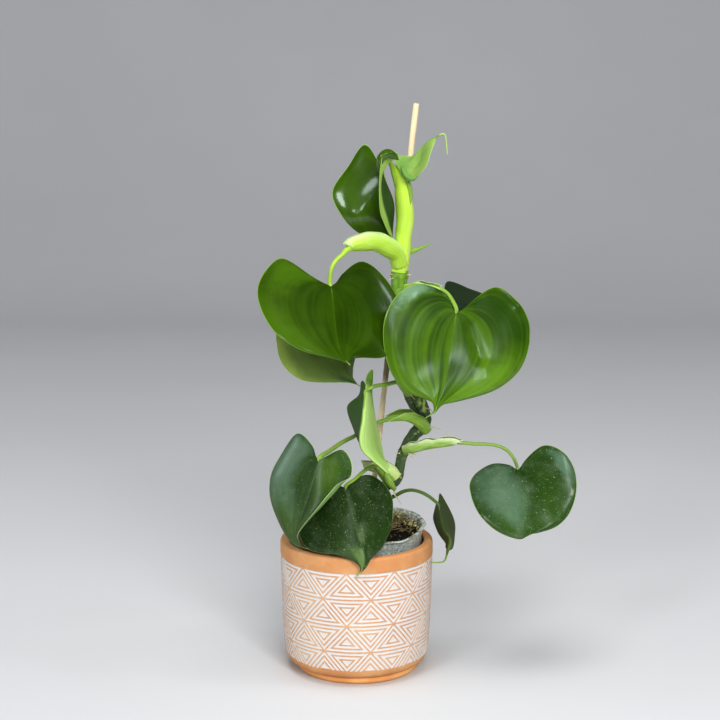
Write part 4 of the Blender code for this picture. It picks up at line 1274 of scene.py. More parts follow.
def blade_grid(name, shape):
    """The blade's grid and a mark for each point: 0 on its face, 0.5 at its edge, 1 on its back."""
    across = np.linspace(-1, 1, BLADE_COLUMNS)
    across = np.sign(across) * np.abs(across) ** 0.92
    x, y, share = heart_lines(BLADE_ROWS, across)
    middle, back = leaf_frame(name, x, y)
    size = np.linalg.norm(middle[-1, 0] - middle[0, BLADE_COLUMNS // 2])
    waves = uneven(middle, shape.get("wave_size", 26) * MM, shape.get("seed", 1))
    waves = waves * shape.get("wave", 0.5) * MM * np.abs(across) ** 1.5 * np.sin(np.pi * share) ** 0.5
    swell = shape.get("swell", 0.0) * MM * (1 - across ** 2) * np.abs(across) * np.sin(np.pi * share)
    relief = vein_relief(across, share, shape.get("veins", 0.22) * MM) + waves + swell
    relief = relief + folds_relief(x, y, shape.get("folds", [])) * MM
    curl = shape.get("curl", 0.0) * MM * np.clip((np.abs(across) - 0.7) / 0.3, 0, 1) ** 2.5
    relief = relief - curl * np.sin(np.pi * share)
    middle = middle - back * relief[..., None]
    for roll in shape.get("rolls", []):
        middle = roll_margin(middle, back, across, share, roll)
    turned = unit(np.cross(np.gradient(middle, axis=1), np.gradient(middle, axis=0)))
    inside = (np.minimum(share, 1 - share) > 0.012)[..., None]
    back = np.where(inside, turned * (-1 if name in SEEN_FROM_BEHIND else 1), back)
    edge = 1 - np.abs(across) ** 10
    taper = np.clip((1 - share) * 16, 0.25, 1)
    half = (EDGE_HALF + MIDDLE_HALF * edge) * taper
    face = middle - back * half[..., None]
    rear = middle + back * half[..., None]
    out_left, out_right = (unit(middle[:, k] - middle[:, m]) for k, m in ((0, 1), (-1, -2)))
    rim = (RIM * taper[:, 0])[:, None]
    left = (face[:, 0] + rear[:, 0]) / 2 + out_left * rim
    right = (face[:, -1] + rear[:, -1]) / 2 + out_right * rim
    grid = np.concatenate([face, right[:, None], rear[:, ::-1], left[:, None]], 1)
    right_rim, left_rim = 0.5 + 0 * right[:, :1], 0.5 + 0 * left[:, :1]
    mark = np.concatenate([0 * face[..., 0], right_rim, 1 + 0 * rear[..., 0], left_rim], 1)
    if name in SEEN_FROM_BEHIND:
        grid, mark = grid[:, ::-1], mark[:, ::-1]
    print(f"{name}: {size / MM:.0f} mm from notch to tip")
    return grid[:, ::-1], mark[:, ::-1]


# %% [markdown]
# The leaves are glossy and leathery. Young ones are bright green with paler stripes beside the
# veins, and old ones are darker, duller and dusty. The underside is paler and has no gloss. One
# function makes every leaf's finish from a few colours and amounts. The stripes read the blade's UV
# map, so they run along the veins however the leaf bends. Gloss should come from the light alone,
# but some light and shade is painted here: pale bluish patches on the old leaves are painted sheen,
# a few small spots are painted highlights, some dark patches are painted shade, and so is the
# shade on the backs of two folded leaves. They don't move when the light does, and the patches
# show on the underside too.

# %% Finish of a leaf
def leaf_finish(name, dark, light, back, gloss=0.2, stripes=0.5, dust=0.0, edge=(0.24, 0.40, 0.04),
                coat=0.5, shade=None, patches=(), tip=0.97):
    """Leaf skin: stripes along the veins, a pale margin, a duller back and, with age, dust.

    Shade (U where it is dark, U where it is light, colour) is painted shade on one part of a folded
    leaf's back. Each patch (U, V, radius, amount, colour) is a soft area of another colour: some are
    the leaf's own tone, others painted sheen, painted highlights and painted shade. The drip tip,
    from V = tip on, is as pale as the margin.
    """
    finish, shader, where = new_finish(name)
    surface = surface_uv(where)
    mark = mark_of(where)
    under = ramp(mark, 0.45, 0.55)
    streaks = place_group(STREAKS, Surface=surface, Across=17.0, Along=1.1)
    parts = split(surface)
    middle = sum_of("ABSOLUTE", sum_of("SUBTRACT", parts[0], 0.5))
    margin = ramp(middle, 0.492, 0.499)
    midrib = ramp(middle, 0.002, 0.008, 1.0, 0.0)
    side_vein = sum_of("COSINE", times(middle, 4 * math.pi * VEINS))
    side_vein = ramp(side_vein, 0.93, 1.0)
    patch = ramp(noise(where, 32.0, 3.0), 0.3, 0.7)
    lower = ramp(parts[1], 0.25, 0.95)
    striped = times(streaks["Bands"], times_plus(lower, 0.6, 0.4))
    share = times_plus(striped, stripes, times(patch, 0.35))
    share = times_plus(lower, 0.2, share)
    face = blend(share, dark, light)
    face = tinted(face, streaks["Lines"], 0.12, light)
    face = tinted(face, side_vein, 0.12, scaled(dark, 0.5))
    near_notch = ramp(parts[1], 0.05, 0.35, 0.8, 0.06)
    face = tinted(face, midrib, near_notch, edge)
    rear = tinted(back, streaks["Lines"], 0.5, scaled(back, 0.72))
    rear = tinted(rear, side_vein, 0.35, scaled(back, 1.35))
    # Painted shade: darkens the part of a folded leaf's back that lies in shadow.
    if shade:
        dark_u, light_u, shade_colour = shade
        rear = blend(ramp(parts[0], dark_u, light_u, 1.0, 0.0), rear, shade_colour)
    old = place_group(DUST, Where=where, Scale=95.0)
    dirt = times(old["Cloud"], 0.25 * dust)
    dirt = larger(dirt, times(old["Scuff"], 0.9 * dust))
    dirt = larger(dirt, times(old["Specks"], 1.2 * dust))
    colour = blend(under, face, rear)
    cloudy = noise(where, 130.0, 5.0, 0.65)
    # Patches: some are the leaf's own tone, others painted sheen, painted highlights and painted shade.
    for u, v, radius, amount, tint in patches:
        away = vector_value("DISTANCE", surface, (u, v, 0.0))
        away = times_plus(cloudy, 0.12, sum_of("SUBTRACT", away, 0.06))
        colour = blend(ramp(away, 0.3 * radius, 1.2 * radius, amount, 0.0), colour, tint)
    colour = blend(dirt, colour, (0.24, 0.30, 0.19))
    pale = larger(margin, ramp(parts[1], tip, tip + 0.02))
    colour = tinted(colour, pale, 0.8, edge)
    rough = times_plus(dirt, 0.5, gloss)
    rough = times_plus(noise(where, 240.0, 4.0), 0.07, rough)
    rough = add(where.id_data, "Mix", {0: under, 2: rough, 3: 0.5}, data_type="FLOAT").outputs[0]
    feed(shader, Base_Color=colour, Roughness=sum_of("ADD", rough, 0.15))
    feed(shader, Specular_IOR_Level=0.25, Coat_Roughness=gloss)
    feed(shader, Coat_Weight=ramp(under, 0.0, 1.0, coat, 0.05), Coat_IOR=1.45)
    skin = noise(where, 900.0, 3.0)
    height = times_plus(streaks["Lines"], 0.5, times(skin, 0.25))
    height = times_plus(side_vein, -0.6, height)
    raise_surface(shader, height, 0.12 * MM, 0.5)
    return finish


YOUNG_BACK = (0.25, 0.42, 0.10)
OLD_BACK = (0.16, 0.27, 0.09)
# Pale bluish tint of the patches on the old leaves: painted sheen, not a coating of the leaf.
PAINTED_SHEEN = (0.15, 0.25, 0.17)
# Colours of the face, dark and light, then the back's colour, the gloss and so on.
LEAF_LOOKS = {
    "leaf_left_broad": dict(
        dark=(0.014, 0.038, 0.000), light=(0.055, 0.120, 0.001), back=YOUNG_BACK, gloss=0.13, stripes=0.35,
        # The two light patches on the left half are painted light, and the dark one on the right is painted
        # shade.
        patches=[(0.05, 0.60, 0.20, 0.5, (0.08, 0.17, 0.003)), (0.12, 0.30, 0.14, 0.4, (0.09, 0.20, 0.002)),
                 (0.85, 0.70, 0.18, 0.7, (0.015, 0.042, 0.000))],
    ),
    "leaf_right_broad": dict(
        dark=(0.014, 0.044, 0.001), light=(0.090, 0.190, 0.003), back=YOUNG_BACK, gloss=0.17, stripes=0.8,
        # The pale bluish patch at the top left is a painted reflection, the light one at the lower right
        # painted sheen, and the dark one at the right painted shade.
        patches=[(0.84, 0.64, 0.16, 0.6, (0.15, 0.29, 0.02)), (0.92, 0.40, 0.14, 0.6, (0.02, 0.06, 0.002)),
                 (0.03, 0.34, 0.07, 0.5, (0.26, 0.42, 0.28)), (0.10, 0.66, 0.12, 0.5, (0.10, 0.20, 0.01))],
    ),
    "leaf_top_folded": dict(
        dark=(0.026, 0.066, 0.001), light=(0.070, 0.150, 0.003), back=(0.40, 0.58, 0.14), gloss=0.12,
        # Its light back is the lit part of the fold, and the shade is painted shade near the midrib.
        coat=1.0, stripes=0.25, edge=(0.35, 0.6, 0.08), shade=(0.76, 0.84, (0.04, 0.085, 0.02)),
    ),
    "leaf_under": dict(
        dark=(0.03, 0.08, 0.01), light=(0.06, 0.14, 0.02), back=(0.15, 0.22, 0.05),
        patches=[(0.36, 0.82, 0.20, 0.8, (0.025, 0.065, 0.03)), (0.0, 0.55, 0.16, 0.8, (0.30, 0.38, 0.08)),
                 (0.35, 0.45, 0.12, 0.5, (0.05, 0.10, 0.02))],
    ),
    "leaf_behind": dict(
        # Its back, the side that shows, and its margin are nearly black: painted shade, as it lies behind
        # the leaves in front.
        dark=(0.02, 0.06, 0.01), light=(0.04, 0.10, 0.02), back=(0.020, 0.036, 0.015),
        edge=(0.04, 0.06, 0.02),
    ),
    "leaf_hanging": dict(
        dark=(0.03, 0.09, 0.01), light=(0.06, 0.15, 0.02), back=(0.44, 0.62, 0.20), gloss=0.35,
        # The shade is painted shade on the left half of its folded back, which lies in shadow.
        shade=(0.46, 0.51, (0.05, 0.12, 0.015)),
        patches=[(0.88, 0.27, 0.18, 1.0, (0.14, 0.28, 0.04)), (0.6, 0.92, 0.16, 0.9, (0.10, 0.20, 0.04)),
                 (0.74, 0.66, 0.22, 0.6, (0.22, 0.36, 0.08))],
    ),
    "leaf_low_left": dict(
        dark=(0.010, 0.038, 0.003), light=(0.060, 0.130, 0.009), back=OLD_BACK, gloss=0.24, stripes=0.4,
        dust=0.4, coat=0.35, edge=(0.40, 0.56, 0.22),
        # The bluish patches on this leaf are painted sheen.
        patches=[(0.12, 0.38, 0.18, 0.5, PAINTED_SHEEN), (0.28, 0.52, 0.10, 0.2, PAINTED_SHEEN),
                 (0.72, 0.32, 0.24, 0.6, (0.08, 0.16, 0.012))],
    ),
    "leaf_low_front": dict(
        dark=(0.008, 0.028, 0.003), light=(0.042, 0.092, 0.010), back=OLD_BACK, gloss=0.28, stripes=0.3,
        dust=0.7, coat=0.3, edge=(0.28, 0.42, 0.10),
        # The two small pale spots are painted highlights, and the bluish patch is painted sheen.
        patches=[(0.53, 0.56, 0.06, 0.3, (0.20, 0.28, 0.12)), (0.46, 0.68, 0.04, 0.4, (0.26, 0.36, 0.18)),
                 (0.42, 0.14, 0.08, 0.5, PAINTED_SHEEN), (0.38, 0.78, 0.16, 0.8, (0.15, 0.23, 0.07))],
    ),
    "leaf_low_right": dict(
        dark=(0.012, 0.042, 0.004), light=(0.046, 0.105, 0.010), back=OLD_BACK, gloss=0.24, stripes=0.3,
        dust=0.7, coat=0.9,
        # The bluish patches are painted sheen, and the small pale spot at the right edge is a painted
        # highlight.
        patches=[(0.16, 0.38, 0.20, 0.4, PAINTED_SHEEN), (0.36, 0.48, 0.22, 0.5, PAINTED_SHEEN), (0.94, 0.40, 0.08, 0.5, PAINTED_SHEEN),
                 (0.96, 0.50, 0.015, 0.5, (0.42, 0.42, 0.26)), (0.80, 0.60, 0.2, 0.6, (0.03, 0.08, 0.004))],
    ),
    "leaf_small_right": dict(
        dark=(0.02, 0.07, 0.01), light=(0.05, 0.12, 0.02), back=(0.055, 0.085, 0.018), gloss=0.4, tip=0.84,
        patches=[(0.62, 0.75, 0.22, 0.8, (0.14, 0.20, 0.04))],
    ),
    "leaf_unfurling": dict(
        dark=(0.10, 0.21, 0.04), light=(0.20, 0.36, 0.06), back=(0.28, 0.42, 0.11), gloss=0.4, stripes=0.6,
        edge=(0.46, 0.64, 0.18), tip=0.93,
        patches=[(0.18, 0.34, 0.20, 0.9, (0.16, 0.30, 0.07)), (0.5, 0.84, 0.14, 0.9, (0.08, 0.18, 0.02))],
    ),
}
# Amounts in millimetres: waves of the margin, furrows at the veins, a swell on each half between
# midrib and margin, and the curl of the margin toward the back. Folds and rolls are as above.
LEAF_SHAPES = {
    "leaf_left_broad": dict(seed=61, wave=0.5, veins=0.12, swell=1.2, curl=1.2),
    "leaf_right_broad": dict(seed=62, wave=0.5, veins=0.14, swell=1.2, curl=2.6, folds=[
        (0.14, 0.10, 0.26, 0.45, 0.045, -0.9), (0.30, 0.50, 0.33, 0.62, 0.05, 0.5),
        (0.54, -0.23, 0.56, -0.2, 0.04, 1.6)]),
    "leaf_top_folded": dict(seed=63, wave=0.15, veins=0.02, swell=1.5, curl=0.8, folds=[
        (-0.53, 0.44, -0.52, 0.46, 0.16, 1.0), (-0.36, 0.58, -0.34, 0.60, 0.15, 1.6)]),
    "leaf_under": dict(seed=64, wave=0.5),
    "leaf_behind": dict(seed=65, wave=0.5),
    "leaf_hanging": dict(seed=66, wave=0.3, veins=0.15),
    "leaf_low_left": dict(seed=67, wave=0.6, veins=0.12, swell=1.5, curl=0.8,
                          rolls=[(1, 0.40, 0.98, 0.86, 1.8)]),
    "leaf_low_front": dict(seed=68, wave=0.6, veins=0.10, swell=1.0, curl=0.8),
    "leaf_low_right": dict(seed=69, wave=0.5, veins=0.10, swell=1.5, curl=1.5, folds=[
        (-0.48, 0.04, -0.51, 0.35, 0.035, -0.7)]),
    "leaf_small_right": dict(seed=70, wave=0.4, veins=0.12),
    "leaf_unfurling": dict(seed=71, wave=0.25, veins=0.08),
}


def drip_grid(name):
    """The drip tip, a solid tapering thread that follows the end of the midrib."""
    along = np.linspace(0.99, 1.16, 40)
    path, _ = leaf_frame(name, 0 * along, along)
    radius = DRIP_RADIUS * np.interp(along, [0.99, 1.04, 1.15, 1.16], [0.4, 1, 0.7, 0.35])
    return tube(path, radius, 10, (0.5, 0.8, 0.2))


# Where the near lobes of the two top leaves curl over, as places and radii in millimetres.
CURLS = {
    "leaf_top_folded": [(16.5, -23, 358, 0.6), (15.6, -23, 363, 2.0), (17.2, -23, 368, 3.0),
                        (21.0, -22, 370.4, 3.4), (25.5, -20, 368.8, 2.6), (28.6, -18, 366.2, 0.5)],
    "leaf_unfurling": [(31.5, -9, 361.5, 0.5), (32.5, -12, 358, 1.7), (35.0, -14, 354.5, 2.1),
                       (38.5, -14.5, 353.2, 1.8), (42, -14.5, 355, 0.5)],
}


def curled_lobe(places):
    """A near lobe that is curled over into a hood: a thick tube with a pale lower rim."""
    rows, columns = 70, 28
    points = smooth(places, np.linspace(0, 1, rows)) * MM
    rim = bell(full_turn(columns) - math.radians(285), 0.35)
    return tube(points[:, :3], points[:, 3], columns, (0, 1, 0)), np.tile(rim, (rows, 1))


def blade_uv(grid, from_behind):
    """UV of a blade: U across it from 0 to 1 on both sides, V along the veins."""
    rows, columns = grid.shape[:2]
    half = (columns - 2) // 2
    u = np.r_[np.linspace(0, 1, half), 1, np.linspace(1, 0, half), 0]
    v = np.linspace(0, 1, rows)
    return np.stack(np.meshgrid(u if from_behind else u[::-1], v), -1)


def leaf_piece(name):
    """A blade with its own finish, in place of the node of the same name."""
    grid, mark = blade_grid(name, LEAF_SHAPES[name])
    drip = drip_grid(name)
    finish = leaf_finish(name + "_skin", **LEAF_LOOKS[name])
    grids, marks = [grid, drip], [mark, np.full(drip.shape[:2], 0.5)]
    surfaces = [blade_uv(grid, name in SEEN_FROM_BEHIND), np.ones((*drip.shape[:2], 2))]
    if name in CURLS:
        curl, rim = curled_lobe(CURLS[name])
        grids, marks = grids + [curl], marks + [0 * rim]
        surfaces.append(np.stack([0.3 + 0.7 * rim, 0.4 + 0 * rim], -1))
    piece(name + "_fine", grids, finish, [name], marks=marks, surfaces=surfaces)


for leaf in LEAVES:
    leaf_piece(leaf)

# %% [markdown]
# The stem climbs in short joints. Its old part is dark and bluish, the newest part is still wrapped
# in bright yellow-green sheaths, and at each joint there is a pale ring with little root tips. A
# stem could be one plain tube, but the joints are what make it a climber, so its radius swells at
# each ring and its colour follows its height.

# %% Finish of stems and stalks
def green_skin(name, young, old, pale, gloss=0.38, z_young=None, spots=0.0, see_through=0.0):
    """Living stem: streaks along it, pale where the mark is 1, and from old to young by height.

    Spots is how strong its pale flecks are, and see_through how much light passes through it.
    """
    finish, shader, where = new_finish(name)
    surface = surface_uv(where)
    mark = mark_of(where)
    streaks = place_group(STREAKS, Surface=surface, Across=14.0, Along=3.0)
    tone = young
    if z_young:
        height = split(where)[2]
        ragged = times_plus(noise(where, 90.0), 16 * MM, height)
        tone = blend(ramp(ragged, *z_young), old, young)
    tone = tinted(tone, streaks["Bands"], 0.35, old)
    tone = tinted(tone, streaks["Lines"], 0.3, pale)
    fleck = ramp(noise(where, 420.0, 2.0), 0.64, 0.72, 0.0, spots)
    tone = blend(fleck, tone, pale)
    tone = blend(ramp(mark, 0.35, 1.0), tone, pale)
    feed(shader, Base_Color=tone, Specular_IOR_Level=0.45)
    feed(shader, Roughness=ramp(noise(where, 150.0), 0.2, 0.8, gloss - 0.06, gloss + 0.1))
    if see_through:
        feed(shader, Subsurface_Weight=see_through, Subsurface_Scale=2 * MM)
    raise_surface(shader, streaks["Lines"], 0.15 * MM, 0.6)
    return finish


MID = dict(young=(0.24, 0.41, 0.035), old=(0.11, 0.24, 0.010))
SKIN_LOOKS = {
    "stem_skin": dict(young=(0.16, 0.33, 0.015), old=(0.010, 0.030, 0.022), pale=(0.42, 0.58, 0.13),
                      z_young=(207 * MM, 217 * MM), spots=0.5),
    "crown_skin": dict(young=(0.50, 0.72, 0.040), old=(0.30, 0.52, 0.012), pale=(0.66, 0.76, 0.36)),
    "young_sheath": dict(young=(0.40, 0.60, 0.03), old=(0.28, 0.48, 0.01), pale=(0.58, 0.71, 0.36)),
    "old_stalk": dict(young=(0.10, 0.17, 0.03), old=(0.05, 0.09, 0.02), pale=(0.20, 0.27, 0.09)),
    "dry_sheath": dict(MID, pale=(0.70, 0.74, 0.50), spots=0.2),
    "sheath_skin": dict(MID, pale=(0.50, 0.62, 0.28), spots=0.15),
    "stalk_skin": dict(young=(0.27, 0.44, 0.030), old=(0.13, 0.27, 0.010), pale=(0.42, 0.58, 0.12)),
    "husk_skin": dict(young=(0.56, 0.67, 0.25), old=(0.42, 0.54, 0.15), pale=(0.70, 0.75, 0.45),
                      gloss=0.5, spots=0.3, see_through=0.6),
    "root_skin": dict(young=(0.62, 0.55, 0.30), old=(0.16, 0.11, 0.05), pale=(0.80, 0.74, 0.50),
                      gloss=0.7, spots=0.3),
}
SKINS = {name: green_skin(name, **look) for name, look in SKIN_LOOKS.items()}
print(len(SKINS), "skins")

# %% The stem, the crown and their small growths
STEM_FOOT = (6.5, 3.5, 73, 3.2)
TUBES = {
    "stem": [
        STEM_FOOT, (6.5, 3.5, 97, 3.2), seen(368, 520, 2, 3.4), seen(375, 498, -1, 3.6),
        seen(386, 486, -4, 4), seen(395, 480, -5, 4.2), seen(399.5, 469, -4, 3.8),
        seen(401.5, 458, -3, 3.6), seen(406, 446, -1, 4), seen(415, 434, 0, 4.5),
        seen(423, 425, 1, 4.8), seen(423.5, 415, 1, 5.2), seen(417, 402, 0, 6.9),
        seen(412, 390, 0, 6.9), seen(405, 370, 0, 6), seen(400, 340, 0, 5.8), seen(398.5, 300, 0, 5.8),
        seen(399, 285, 0, 5.7), seen(400, 268, 0, 5.9),
    ],
    "crown": [
        seen(399.5, 272, 0, 6.1), seen(400.5, 262, 0, 6.2), seen(402, 250, 0, 6.2),
        seen(403.5, 235, -1, 5.9), seen(405, 215, -1, 6.2), seen(403, 195, -1, 5.8),
        (31.5, -1, 351, 5.0), (30, 0, 357, 4.4), (29, 1, 361.5, 3.4),
    ],
    "young_stalk": [
        seen(410, 206, -4.5, 0.4), seen(410.5, 195, -5, 1.5), seen(408.5, 184.5, -5, 1.7),
        (33.2, -5.3, 353.4, 0.9),
    ],
    "spike": [
        seen(406, 251, 0, 3.4), seen(413, 250.5, 0, 2.4), seen(421, 248, -1, 1.3),
        seen(431, 244, -2, 0.35),
    ],
    "husk": [
        (28.5, -7, 141.5, 4.0), (25, -8, 145.5, 5.0), (18, -9, 148.5, 4.6), (11, -10, 150, 3.6),
        (6, -11, 151, 2.6),
    ],
    "shoot": [
        (20.5, -14, 146.5, 0.8), (21.5, -14, 144, 2.2), (24, -12, 138, 2.6), (27, -9, 133, 1.6),
    ],
}
RINGS = (142.0, 158.0, 181.0, 211.0, 284.5)     # heights of the stem's joints
# Pale scars on the stem, as places and sizes in millimetres.
PALE_PATCHES = [(33, -7, 208.5, 6), (46.5, -6, 195, 5), (48, -5, 190, 4)]


def route(places, rows):
    """Path and radius, in metres, of a smooth curve through places (x, y, z, radius) in millimetres."""
    points = smooth(places, np.linspace(0, 1, rows)) * MM
    return points[:, :3], points[:, 3]


def stem_part(name, grids, skin, marks=None):
    """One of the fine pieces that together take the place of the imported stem."""
    piece(name, grids, SKINS[skin], ["stem"], marks=marks)


def stem_piece():
    """The climbing stem: it swells by a tenth at each ring and is drawn in just above it."""
    path, radius = route(TUBES["stem"], 320)
    z = path[:, 2] / MM
    swell = sum(0.10 * bell(z - ring, 1.3) - 0.05 * bell(z - ring - 4, 2.0) for ring in RINGS)
    pale = sum(bell(z - ring + 0.5, 1.0) for ring in RINGS)
    grid = tube(path, radius * (1 + swell), 40, side=(0, 1, 0))
    around = grid - path[:, None]
    grid = grid + around * (0.035 * uneven(grid, 7 * MM, 81) + 0.015 * uneven(grid, 2 * MM, 82))[..., None]
    mark = np.clip(pale, 0, 1)[:, None] * (0.55 + 0.35 * uneven(grid, 4 * MM, 83))
    for *place, size in PALE_PATCHES:
        away = np.linalg.norm(grid - np.array(place) * MM, axis=-1)
        mark = np.maximum(mark, bell(away, size * MM) * (0.9 + 0.3 * uneven(grid, 4 * MM, 85)))
    stem_part("stem_fine", [grid], "stem_skin", [np.clip(mark, 0, 1)])


def crown_piece():
    """The newest sheath, rolled round itself: its radius grows with the angle and drops at the slit.

    The overlap is r(a) = r * (1 + lap * a / 2 pi), so the last column stands proud of the first.
    """
    path, radius = route(TUBES["crown"], 150)
    share = np.linspace(0, 1, 150)
    columns = 72
    grid = tube(path, radius, columns, side=(0.69, -0.72, 0))
    turn_share = np.arange(columns) / columns
    lap = (0.05 + 0.16 * share ** 2)[:, None] * (turn_share - 0.5)[None]
    open_part = bell(share - 0.75, 0.14)
    lap = lap - 0.22 * open_part[:, None] * bell(turn_share, 0.035)
    wave = 0.03 * uneven(grid, 14 * MM, 84)
    grid = grid + (grid - path[:, None]) * (lap + wave)[..., None]
    mark = 0.8 * np.clip(1 - 14 * np.minimum(turn_share, 1 - turn_share), 0, 1)
    stem_part("crown_fine", [grid], "crown_skin", [np.tile(mark, (len(path), 1))])


def small_growths():
    """The dry spike beside the crown, the young leaf's stalk, the aerial root and the root tips."""
    path, radius = route(TUBES["spike"], 40)
    flat = tube(path, radius, 20, side=(0, 1, 0))
    flat = path[:, None] + (flat - path[:, None]) * (1.0, 0.55, 0.8)
    low = bell(full_turn(20) - 1.5 * math.pi, 0.5)
    stem_part("spike", [flat], "sheath_skin", [np.tile(low, (40, 1))])
    path, radius = route(TUBES["young_stalk"], 30)
    stem_part("young_stalk", [tube(path, radius, 20, side=(0.5, 0.8, 0))], "sheath_skin")
    grids = [root(AERIAL_ROOT, 0.75, 91)]
    for seed, places in enumerate(ROOT_TIPS):
        grids.append(root(places, 0.6, 92 + seed, 10))
    stem_part("root_tips", grids, "root_skin")


# The long aerial root, and short root tips at the joints, as places in millimetres.
AERIAL_ROOT = [seen(392, 482, -6), seen(393.8, 490, -8), seen(396.5, 497, -10), seen(401.5, 504, -9)]
ROOT_TIPS = [
    [(25.5, -3, 285.5), (24, -5, 286), (22.5, -5.5, 286.5)],
    [(26, -4, 283), (25, -6, 283.2), (23.5, -7.5, 282.5), (22.8, -7.6, 282)],
    [(35.5, -3, 285), (37, -3.5, 285.4), (38.3, -3.5, 286)],
    [(33.5, -4, 204.5), (32.5, -5.5, 204), (31.8, -6, 203)],
    [(38.5, -6.8, 203.5), (39.2, -8, 200.5), (41.2, -8.2, 197.5)],
    [(49, -4, 190.5), (51.5, -5, 190), (54, -5, 188)],
    [(48.5, -3.5, 177), (52, -5, 176.3), (56, -5.5, 176.4), (60, -6, 175.6)],
    [(46, -4, 176.5), (48, -6, 176), (50, -6.5, 176.6)],
    [(31, -6, 158.5), (29, -8, 159), (27.4, -8.5, 158.4)],
    [(37, -6.5, 158), (38.8, -8, 156.8), (40.6, -8.5, 155.4)],
    [(38.5, -6, 159), (40.5, -7.5, 158.6), (42, -8, 158)],
]

stem_piece()
crown_piece()
small_growths()

# %% [markdown]
# Each leaf stalk starts as a sheath, a channel that clasps the stem, and runs out to a round stalk.
# The channel is an arc swept along the curve. Its back carries the stalk, its two edges are thin
# and pale, and it ends in a free, papery lip. The stalk itself goes on to the leaf's notch and dies
# away down the back of the blade as the midrib's ridge.

# %% Sheaths and stalks
STALKS = {
    "leaf_left_broad": [
        seen(400, 266, -1, 5.6), seen(396.5, 254, -3, 6.2), seen(387, 246, -8, 6.8),
        seen(375, 241.5, -13, 6.6), seen(362, 242, -18, 6), seen(352, 245, -21, 4.6),
        seen(346.5, 249, -23, 2.4), seen(342.5, 254.5, -24, 1.6), seen(337.6, 259.3, -25, 1.5),
        seen(332.1, 266.9, -27, 1.4),
    ],
    "leaf_right_broad": [
        seen(400, 296, -2, 4.8), seen(405, 292, -8, 4.4), seen(412, 289, -13, 4),
        seen(420, 286.8, -17, 3.8), seen(430, 286.5, -21, 3.4), seen(438, 288.5, -23, 2.8),
        seen(444, 291, -24, 1.8), seen(449, 295.5, -25, 1.5),
    ],
    "leaf_top_folded": [
        seen(398, 188, -2, 2.4), seen(394.5, 175, -2, 2.2), seen(391, 164, -2, 1.8),
        seen(387.5, 160, -2, 1.6),
    ],
    "leaf_hanging": [
        seen(411, 391, -3, 4.6), seen(405, 385, -6, 4), seen(399.5, 381.5, -11, 2.2),
        seen(392, 382.5, -18, 1.6), seen(386, 384.3, -24, 1.6), (14.5, -33, 212.5, 1.4),
        (10, -43.5, 213, 1.3),
    ],
    "leaf_low_left": [
        seen(426, 430, -1, 3.6), seen(422.5, 424, -5, 4.2), seen(415.5, 417.8, -9, 4.3),
        seen(406, 414.7, -12, 4.2), seen(397.4, 415.2, -12, 3.6), seen(390.5, 417.8, -12, 2.6),
        seen(386, 419.5, -12, 1.7), seen(378, 422.5, -11, 1.5), seen(366, 430, -11, 1.5),
        seen(354.5, 436, -16, 1.5), seen(341.8, 442.6, -27, 1.5), seen(330.4, 450.4, -39, 1.5),
    ],
    "leaf_low_right": [
        seen(404, 449, -4, 3.2), seen(413.6, 447, -8, 3.9), seen(423.6, 444.5, -10, 3.6),
        seen(437.9, 442.4, -12, 3.4), seen(450, 441.5, -13, 3), seen(456.4, 442.7, -14, 1.5),
        seen(466.4, 442.9, -14, 1.3), seen(475, 443.7, -14, 1.25), seen(487.9, 444.2, -13, 1.2),
        seen(497.9, 446, -12, 1.2), seen(507.9, 450.9, -10, 1.2), seen(513.6, 457.9, -7, 1.2),
    ],
    "leaf_low_front": [
        seen(389, 481, -6, 3.2), seen(383.5, 474.5, -10, 3), seen(378, 468.5, -17, 2),
        seen(373, 466, -23, 1.4), seen(367, 469.3, -29, 1.3), (3.5, -35, 151, 1.3), (-1, -40, 148, 1.2),
    ],
    "leaf_small_right": [
        (13.5, -1, 123, 2.2), seen(385, 500, -1, 1.7), seen(394, 496.2, -4, 1.4),
        seen(403.6, 491.4, -8, 1.3), seen(412, 490.2, -12, 1.2), seen(420.7, 491.8, -14, 1.2),
        seen(429.3, 496.8, -15, 1.2),
    ],
    "leaf_under": [
        (30.5, -2, 238, 3.0), (22, -4, 248, 2.2), (8, -6, 256, 1.6), (-8, -6, 259, 1.5),
        (-20, -6, 258, 1.4),
    ],
    "leaf_behind": [
        (31.5, 2, 244, 4.2), (38, 0, 251, 2.6), (46, 1, 258, 1.8), (56, 7, 263.5, 1.5),
    ],
}
STALK_LEAD = 0.060              # a stalk's last bend, as a share of the leaf's length above the notch
SHORT_RIDGE = {"leaf_small_right": 0.35}            # its ridge on the blade's back, as a share of others
SLIM = {"leaf_left_broad": 1.75, "leaf_low_right": 1.5, "leaf_low_left": 1.6}
USUAL_SLIM = 1.45               # beyond this radius, in millimetres, the core is thinner than the sheath
OUTSIDE = ("leaf_hanging", "leaf_small_right")      # their stalks have no such last bend


def stalk_route(name):
    """The stalk's path to the notch and on down the blade's back, and its radius along the way."""
    lead = leaf_frame(name, np.array([0.0]), np.array([-STALK_LEAD]))[0] / MM
    along = np.array([0.0, 0.07, 0.16, 0.28, 0.45]) * SHORT_RIDGE.get(name, 1.0)
    spine, back = leaf_frame(name, 0 * along, along)
    radii = np.array([1.15, 0.9, 0.65, 0.4, 0.18])
    ridge = spine / MM + back * (0.2 + 0.45 * radii[:, None])
    run = [(*point, radius) for point, radius in zip(ridge, radii)]
    if name in OUTSIDE:
        run = run[1:]
        before = []
    else:
        before = [(*lead[0], STALKS[name][-1][3])]
    return route(STALKS[name] + before + run, 200)


